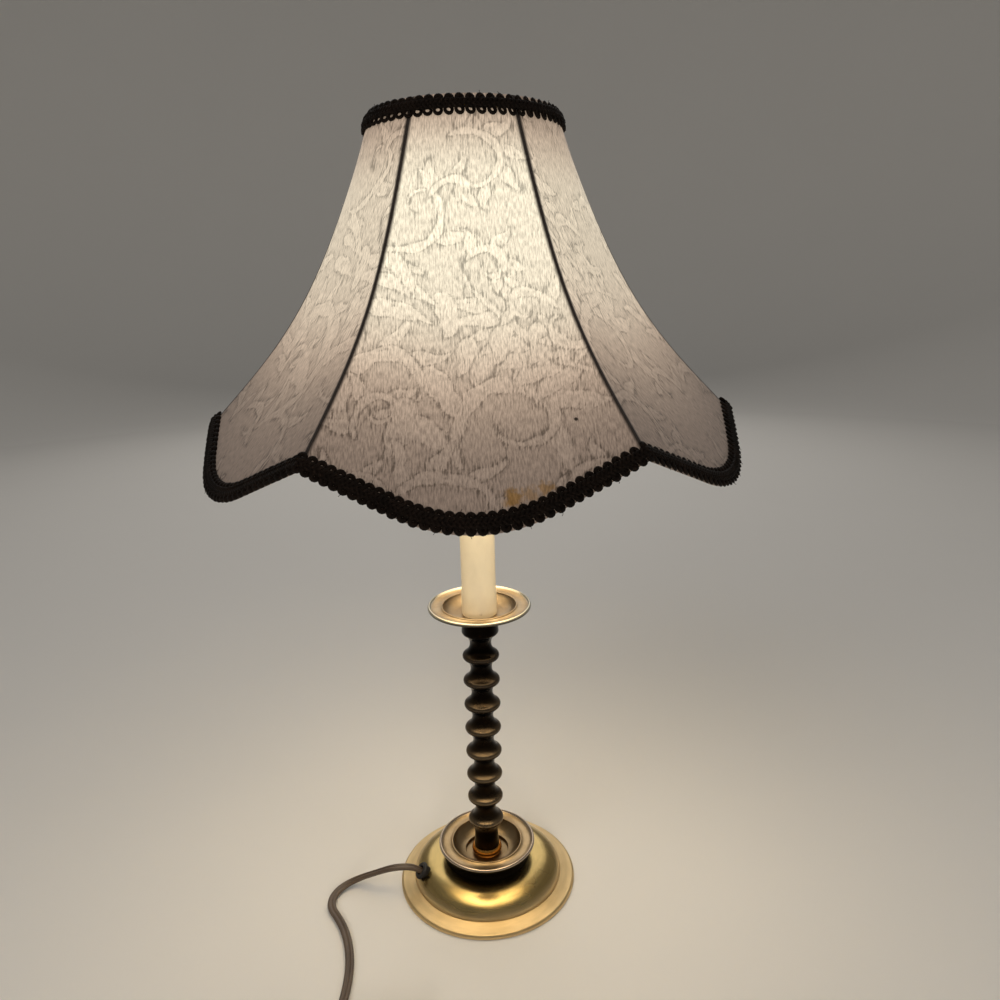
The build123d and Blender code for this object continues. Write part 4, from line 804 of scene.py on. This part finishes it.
def shade_panel(index, leaf_tile, line_tile):
    """One panel of damask on its lining, from the top ring to the scalloped hem."""
    shape = bmesh.new()
    bmesh.ops.create_grid(shape, x_segments=PANEL_COLUMNS, y_segments=PANEL_ROWS, size=1.0)
    mesh = bpy.data.meshes.new("panel")
    shape.to_mesh(mesh)
    shape.free()
    grid = np.zeros(len(mesh.vertices) * 3, np.float32)
    mesh.vertices.foreach_get("co", grid)
    across = grid[0::3].astype(float)
    down = (1 - grid[1::3].astype(float)) / 2
    drop = down * hem_drop(across, TRIM_OVERHANG)
    place, aside = panel_place(across, drop)
    slant = slant_length(drop)
    lit = bulb_glow(drop, aside, PANEL_GLOW_DROP[index]) * PANEL_GLOW[index]
    edge = np.abs(panel_place(np.ones_like(drop), drop)[1]) - np.abs(aside)
    x = aside + TILE_WIDTH * (0.5 + PANEL_SHIFT_ACROSS[index])
    x += WARP * np.sin(slant / 7.0 + np.sin(aside / 9.0))
    y = slant + TILE_HEIGHT * PANEL_SHIFT_DOWN[index]
    y += WARP * np.sin(aside / 8.0 + np.sin(slant / 11.0))
    leaf, line = from_tile(leaf_tile, x, y), from_tile(line_tile, x, y)
    values = {"leaf": leaf, "line": line, "lit": lit, "seam": edge}
    turn = Matrix.Rotation(index * math.tau / SHADE_SIDES, 3, "Z")
    turned = (place * MM) @ np.array(turn).T
    mesh.vertices.foreach_set("co", turned.astype(np.float32).ravel())
    for name, value in values.items():
        layer = mesh.attributes.new(name, "FLOAT", "POINT")
        layer.data.foreach_set("value", value.astype(np.float32))
    corners = np.zeros(len(mesh.loops), np.int32)
    mesh.loops.foreach_get("vertex_index", corners)
    weave = np.stack([aside / WEAVE_SPAN + 0.5, 1 - slant / WEAVE_SPAN], axis=-1)[corners]
    mesh.uv_layers.new(name="weave").data.foreach_set("uv", weave.astype(np.float32).ravel())
    mesh.update()
    side = PANEL_SIDES[index]
    faces = [finishes["shade_fabric"], lining]
    panel = mesh_piece("cloth_" + side, mesh, faces, "shade")
    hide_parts("shade_panel_" + side)
    wall = panel.modifiers.new("lining", "SOLIDIFY")
    wall.thickness = FABRIC_THICKNESS * MM
    wall.offset = -1.0
    wall.material_offset = 1


# Braid

def round_shade(points, normals):
    """A line along one panel repeated round the shade, with the normals of its surface."""
    lines = []
    ways = []
    for index in range(SHADE_SIDES):
        turn = np.array(Matrix.Rotation(index * math.tau / SHADE_SIDES, 3, "Z")).T
        lines.append(points[:-1] @ turn)
        ways.append(normals[:-1] @ turn)
    return np.concatenate(lines), np.concatenate(ways)


def trim_line(drops, across):
    """Middle line of a braid and the normals of the fabric under it."""
    place, _ = panel_place(across, drops, BRAID_LIFT)
    lower, _ = panel_place(across, drops + 0.5, BRAID_LIFT)
    aside, _ = panel_place(across + 0.01, drops, BRAID_LIFT)
    normals = np.cross(aside - place, place - lower)
    normals /= np.linalg.norm(normals, axis=-1)[:, None]
    return round_shade(place, normals)


def even_line(points, normals, count):
    """The closed line at even spacing, with its headings, normals and the ways across it."""
    closed = np.concatenate([points, points[:1]])
    turns = np.concatenate([normals, normals[:1]])
    run = np.concatenate([[0], np.cumsum(np.linalg.norm(np.diff(closed, axis=0), axis=1))])
    marks = np.arange(count) * run[-1] / count
    place = np.stack([np.interp(marks, run, closed[:, k]) for k in range(3)], axis=-1)
    normal = np.stack([np.interp(marks, run, turns[:, k]) for k in range(3)], axis=-1)
    heading = np.roll(place, -1, axis=0) - np.roll(place, 1, axis=0)
    heading /= np.linalg.norm(heading, axis=-1)[:, None]
    normal -= heading * (heading * normal).sum(-1)[:, None]
    normal /= np.linalg.norm(normal, axis=-1)[:, None]
    return place, heading, normal, np.cross(normal, heading), run[-1]


def yarn_loop(cord):
    """One loop of the braid: a ring of cord round a hole, a little flattened."""
    shape = bmesh.new()
    turn = Matrix.Translation((LOOP_RADIUS - cord, 0, 0)) @ Matrix.Rotation(math.pi / 2, 4, "X")
    made = bmesh.ops.create_circle(shape, segments=LOOP_SIDES, radius=cord, matrix=turn)
    bmesh.ops.spin(
        shape,
        geom=made["verts"] + shape.edges[:],
        cent=(0, 0, 0),
        axis=(0, 0, 1),
        angle=math.tau,
        steps=LOOP_STEPS,
        use_merge=True,
    )
    bmesh.ops.remove_doubles(shape, verts=shape.verts[:], dist=1e-4)
    bmesh.ops.scale(shape, vec=(1.0, 1.0, LOOP_HEIGHT / cord), verts=shape.verts[:])
    bmesh.ops.recalc_face_normals(shape, faces=shape.faces[:])
    mesh = bpy.data.meshes.new("loop")
    shape.to_mesh(mesh)
    shape.free()
    return mesh


def braid(name, node, points, normals, pitch, cords):
    """Gimp braid: two rows of overlapping loops, a plait of three over their feet and stray fibres."""
    length = even_line(points, normals, 4)[4]
    shape = bmesh.new()
    draw = random.Random(BRAID_SEED)
    count = round(length / pitch)
    place, heading, normal, up, _ = even_line(points, normals, count)
    up_first = 1 if up[:, 2].mean() > 0 else -1
    for row, cord in zip((up_first, -up_first), cords):
        loop = yarn_loop(cord)
        middle = place + up * row * (TRIM_WIDTH / 2 - LOOP_RADIUS)
        for index in range(count):
            lean = Matrix.Rotation(LOOP_LEAN + draw.uniform(-0.06, 0.06), 4, "Y")
            stretch = Matrix.Scale(draw.uniform(0.94, 1.05), 4, (0, 1, 0))
            axes = np.stack([heading[index], up[index], normal[index]], axis=-1)
            frame_of = Matrix(axes.tolist()).to_4x4()
            spot = Matrix.Translation(middle[index] * MM)
            one = loop.copy()
            one.transform(spot @ frame_of @ Matrix.Scale(MM, 4) @ lean @ stretch)
            shape.from_mesh(one)
            bpy.data.meshes.remove(one)
            if draw.random() < FIBRE_CHANCE:
                out = up[index] * row
                tip = middle[index] + out * (LOOP_RADIUS - 0.3)
                drift = heading[index] * draw.uniform(-1.2, 1.2)
                drift = drift + normal[index] * draw.uniform(-0.6, 0.8)
                fibre = [tip, tip + out * 0.8 + drift * 0.4, tip + out * 1.2 + drift]
                shape.from_mesh(curve_mesh(np.array(fibre) * MM, FIBRE * MM))
    waves = round(length / PLAIT_PITCH)
    place, heading, normal, up, _ = even_line(points, normals, waves * PLAIT_POINTS)
    phase = np.arange(waves * PLAIT_POINTS) * math.tau / PLAIT_POINTS
    for strand in range(3):
        turn = (phase + strand * math.tau / 3)[:, None]
        line = place + up * PLAIT_SWING * np.sin(turn) + normal * (0.75 + 0.45 * np.sin(2 * turn))
        shape.from_mesh(curve_mesh(line * MM, PLAIT_CORD * MM, closed=True))
    piece = new_piece(name, shape, [finishes["braid"]], "shade")
    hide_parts(node)


def shade_braids():
    """The braids round the shade's top and along its hem."""
    across = np.linspace(-1, 1, 61)
    slant = math.hypot(1, SHADE_SLOPE)
    top_line = trim_line(np.full_like(across, TRIM_WIDTH / slant / 2), across)
    hem_line = trim_line(hem_drop(across, TRIM_WIDTH / 2), across)
    braid("braid_top", "shade_top_trim", *top_line, TOP_LOOP_PITCH, (CLOSED_CORD, OPEN_CORD))
    braid("braid_hem", "shade_bottom_trim", *hem_line, HEM_LOOP_PITCH, (HALF_OPEN_CORD, CLOSED_CORD))


# Candle tube

def candle_tube():
    """Sleeve with a soft swelling at its foot."""
    low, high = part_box("candle_tube")
    outer = high.x
    inner = outer - CANDLE_WALL * MM
    swell = CANDLE_SWELL * MM
    height = high.z - low.z
    profile = [(inner, low.z), (outer + swell * 0.7, low.z), (outer + swell, low.z + 1.2 * MM)]
    profile += [(outer + swell, low.z + 13.0 * MM), (outer + swell * 0.8, low.z + 15.5 * MM)]
    profile += [(outer, low.z + 17.5 * MM)]
    profile += [(outer, low.z + height * share) for share in (0.3, 0.45, 0.6, 0.75, 0.9)]
    profile += [(outer, high.z), (inner, high.z)]
    shape = lathe(profile, CANDLE_STEPS)
    piece = new_piece("candle_sleeve", shape, [finishes["candle_sleeve"]], "stand")
    split = piece.modifiers.new("edges", "EDGE_SPLIT")
    split.split_angle = CANDLE_EDGE
    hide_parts("candle_tube")


# Cord

def coil_place(turns):
    """Point of the coil after some turns: in on the floor, a climb, and out on top."""
    share = min(1.0, max(0.0, (turns - COIL_TURNS_IN) / COIL_TURNS_CLIMB))
    turns_out = max(COIL_TURNS_IN - turns, 0.0, turns - COIL_TURNS_IN - COIL_TURNS_CLIMB)
    radius = COIL_INNER_RADIUS + COIL_STEP * turns_out
    height = COIL_LOW + COIL_LAYER * share * share * (3 - 2 * share)
    angle = math.pi + math.tau * turns
    x, y = COIL_CENTRE
    return (x + radius * math.cos(angle), y + radius * math.sin(angle), height)


def cord_route():
    """Points of the cord from the bushing to the plug, and how far its flat side is turned at each."""
    route = [
        (-44.6, -12.0, 13.6),
        (-50.7, -13.6, 19.3),
        (-59.5, -14.8, 21.2),
        (-68.8, -13.9, 19.4),
        (-79.5, -10.2, 13.2),
        (-91.2, -5.8, 6.0),
        (-102.0, -8.8, FLOOR_LINE + 0.4),
        (-108.2, -18.0, FLOOR_LINE),
        (-107.8, -29.0, FLOOR_LINE),
        (-101.4, -38.2, FLOOR_LINE),
        (-95.4, -49.2, FLOOR_LINE),
        (-90.6, -63.0, FLOOR_LINE),
        (-87.6, -79.5, FLOOR_LINE),
        (-87.4, -98.0, FLOOR_LINE),
        (-89.8, -117.0, FLOOR_LINE),
        (-93.8, -135.5, FLOOR_LINE + 0.4),
        (coil_place(0)[0], coil_place(0)[1] + 14.0, COIL_LOW),
    ]
    tilts = [0.0] * (len(route) - 3) + [math.radians(tilt) for tilt in (20, 50, 80)]
    turns = COIL_TURNS_IN + COIL_TURNS_CLIMB + COIL_TURNS_OUT
    steps = round(turns * COIL_POINTS)
    route += [coil_place(turns * i / steps) for i in range(steps + 1)]
    tilts += [math.radians(90)] * (steps + 1)
    end = route[-1]
    plug_low, plug_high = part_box("plug_body")
    plug_middle = (plug_low.z + plug_high.z) / 2 / MM
    tail = ((0.4, end[2], 60), (0.75, plug_middle + 0.5, 25), (1.0, plug_middle, 0))
    for share, height, tilt in tail:
        route.append((end[0] + COIL_TAIL * share, end[1], height))
        tilts.append(math.radians(tilt))
    return [Vector(place) * MM for place in route], tilts


def twin_section():
    """Outline of the flat twin lead: two round cores side by side."""
    core = CORD_THICKNESS / 2
    middle = CORD_WIDTH / 2 - core
    reach = math.pi - math.asin(CORD_WAIST / core)
    angles = [reach * (2 * step / CORE_STEPS - 1) for step in range(CORE_STEPS + 1)]
    right = [(middle + core * math.cos(a), core * math.sin(a)) for a in angles]
    left = [(-x, -y) for x, y in right]
    return [(x * MM, y * MM) for x, y in right + left]


def power_cord():
    """The lead from the bushing to the plug, in one piece with its coil."""
    route, tilts = cord_route()
    line = curve_mesh(route, smooth=True)
    mesh = curve_mesh(route, section=twin_section(), smooth=True, tilts=tilts)
    piece = mesh_piece("power_cord", mesh, [finishes["cord_cover"]], "stand")
    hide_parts("cord_free", "cord_coil")


# Studio

FLOOR_REACH = 2.2
WALL_ROUND = 0.9
WALL_HEIGHT = 3.0
FLOOR_STEPS = 96
WALL_STEPS = 12
PALE = (0.70, 0.675, 0.635)


def studio():
    """Pale round floor that sweeps up into a wall on all sides."""
    finish = Finish("studio_floor", Roughness=0.75, Specular_IOR_Level=0.25)
    cloud = finish.noise(finish.place(), 3.0, 3.0)
    finish.set("Base Color", finish.mix(cloud, PALE, tuple(0.97 * part for part in PALE)))
    shape = bmesh.new()
    bmesh.ops.create_circle(shape, cap_ends=True, segments=FLOOR_STEPS, radius=FLOOR_REACH)
    floor = new_piece("floor", shape, [finish.material], None)
    shape = bmesh.new()
    profile = [shape.verts.new((FLOOR_REACH, 0, 0))]
    for step in range(1, WALL_STEPS + 1):
        angle = math.pi / 2 * step / WALL_STEPS
        reach = FLOOR_REACH + WALL_ROUND * math.sin(angle)
        profile.append(shape.verts.new((reach, 0, WALL_ROUND * (1 - math.cos(angle)))))
    profile.append(shape.verts.new((FLOOR_REACH + WALL_ROUND, 0, WALL_HEIGHT)))
    for here, there in zip(profile, profile[1:]):
        shape.edges.new((here, there))
    bmesh.ops.spin(
        shape,
        geom=shape.verts[:] + shape.edges[:],
        cent=(0, 0, 0),
        axis=(0, 0, 1),
        angle=math.tau,
        steps=FLOOR_STEPS,
        use_merge=True,
    )
    bmesh.ops.recalc_face_normals(shape, faces=shape.faces[:])
    bmesh.ops.reverse_faces(shape, faces=shape.faces[:])
    wall = new_piece("wall", shape, [finish.material], None)
    wall.visible_diffuse = False
    wall.visible_shadow = False


def soft_light(name, place, target, size, power, colour, mirrored):
    """Round soft light that the camera doesn't see, and that shiny pieces mirror or not."""
    light = bpy.data.lights.new(name, "AREA")
    light.shape = "DISK"
    light.size = size
    light.energy = power
    light.color = colour
    holder = bpy.data.objects.new(name, light)
    holder.location = place
    holder.rotation_euler = (Vector(target) - Vector(place)).to_track_quat("-Z", "Y").to_euler()
    holder.visible_camera = False
    holder.visible_glossy = mirrored
    bpy.context.scene.collection.objects.link(holder)


def lights():
    """Weak even light, a key and a fill from the front, and a broad light behind."""
    scene = bpy.context.scene
    world = bpy.data.worlds.new("studio")
    world.use_nodes = True
    background = world.node_tree.nodes["Background"]
    background.inputs["Color"].default_value = (1.0, 0.985, 0.96, 1.0)
    background.inputs["Strength"].default_value = 0.17
    scene.world = world
    middle = (0, 0, 0.25)
    warm = (1.0, 0.97, 0.93)
    soft_light("key", (-0.75, -1.0, 1.35), middle, 0.9, 6.6, warm, False)
    soft_light("fill", (1.15, -0.7, 0.8), middle, 0.9, 1.4, (1.0, 1.0, 1.0), False)
    soft_light("front", (0.1, -1.9, 0.6), (0, 0, 0.18), 0.4, 9.5, (1.0, 0.95, 0.88), False)
    soft_light("back", (0.0, 1.6, 1.3), middle, 2.2, 11.0, warm, True)
    scene.view_settings.view_transform = "Standard"


# Camera: solved from the round rims in the photograph
CAMERA_PLACE = (0.0, -0.4874, 0.41088)
CAMERA_PITCH = math.radians(15.16)
CAMERA_YAW = math.radians(1.79)
CAMERA_ROLL = math.radians(-1.39)
CAMERA_LENS = 28.8


def camera():
    """Camera at the photograph's place and angle."""
    ahead = Vector((
        math.sin(CAMERA_YAW) * math.cos(CAMERA_PITCH),
        math.cos(CAMERA_YAW) * math.cos(CAMERA_PITCH),
        -math.sin(CAMERA_PITCH),
    ))
    right = ahead.cross(Vector((0, 0, 1))).normalized()
    up = right.cross(ahead)
    tilted_right = right * math.cos(CAMERA_ROLL) + up * math.sin(CAMERA_ROLL)
    tilted_up = up * math.cos(CAMERA_ROLL) - right * math.sin(CAMERA_ROLL)
    axes = Matrix((tilted_right, tilted_up, -ahead)).transposed()
    lens = bpy.data.cameras.new("camera")
    lens.lens = CAMERA_LENS
    lens.sensor_width = 36.0
    lens.sensor_fit = "HORIZONTAL"
    lens.clip_start = 0.01
    holder = bpy.data.objects.new("camera", lens)
    holder.matrix_world = Matrix.Translation(CAMERA_PLACE) @ axes.to_4x4()
    bpy.context.scene.collection.objects.link(holder)
    bpy.context.scene.camera = holder


camera()
lights()
studio()
dress_solids()
power_cord()
candle_tube()
leaf_map, line_map = damask_tile()
for side in range(SHADE_SIDES):
    shade_panel(side, leaf_map, line_map)
shade_braids()
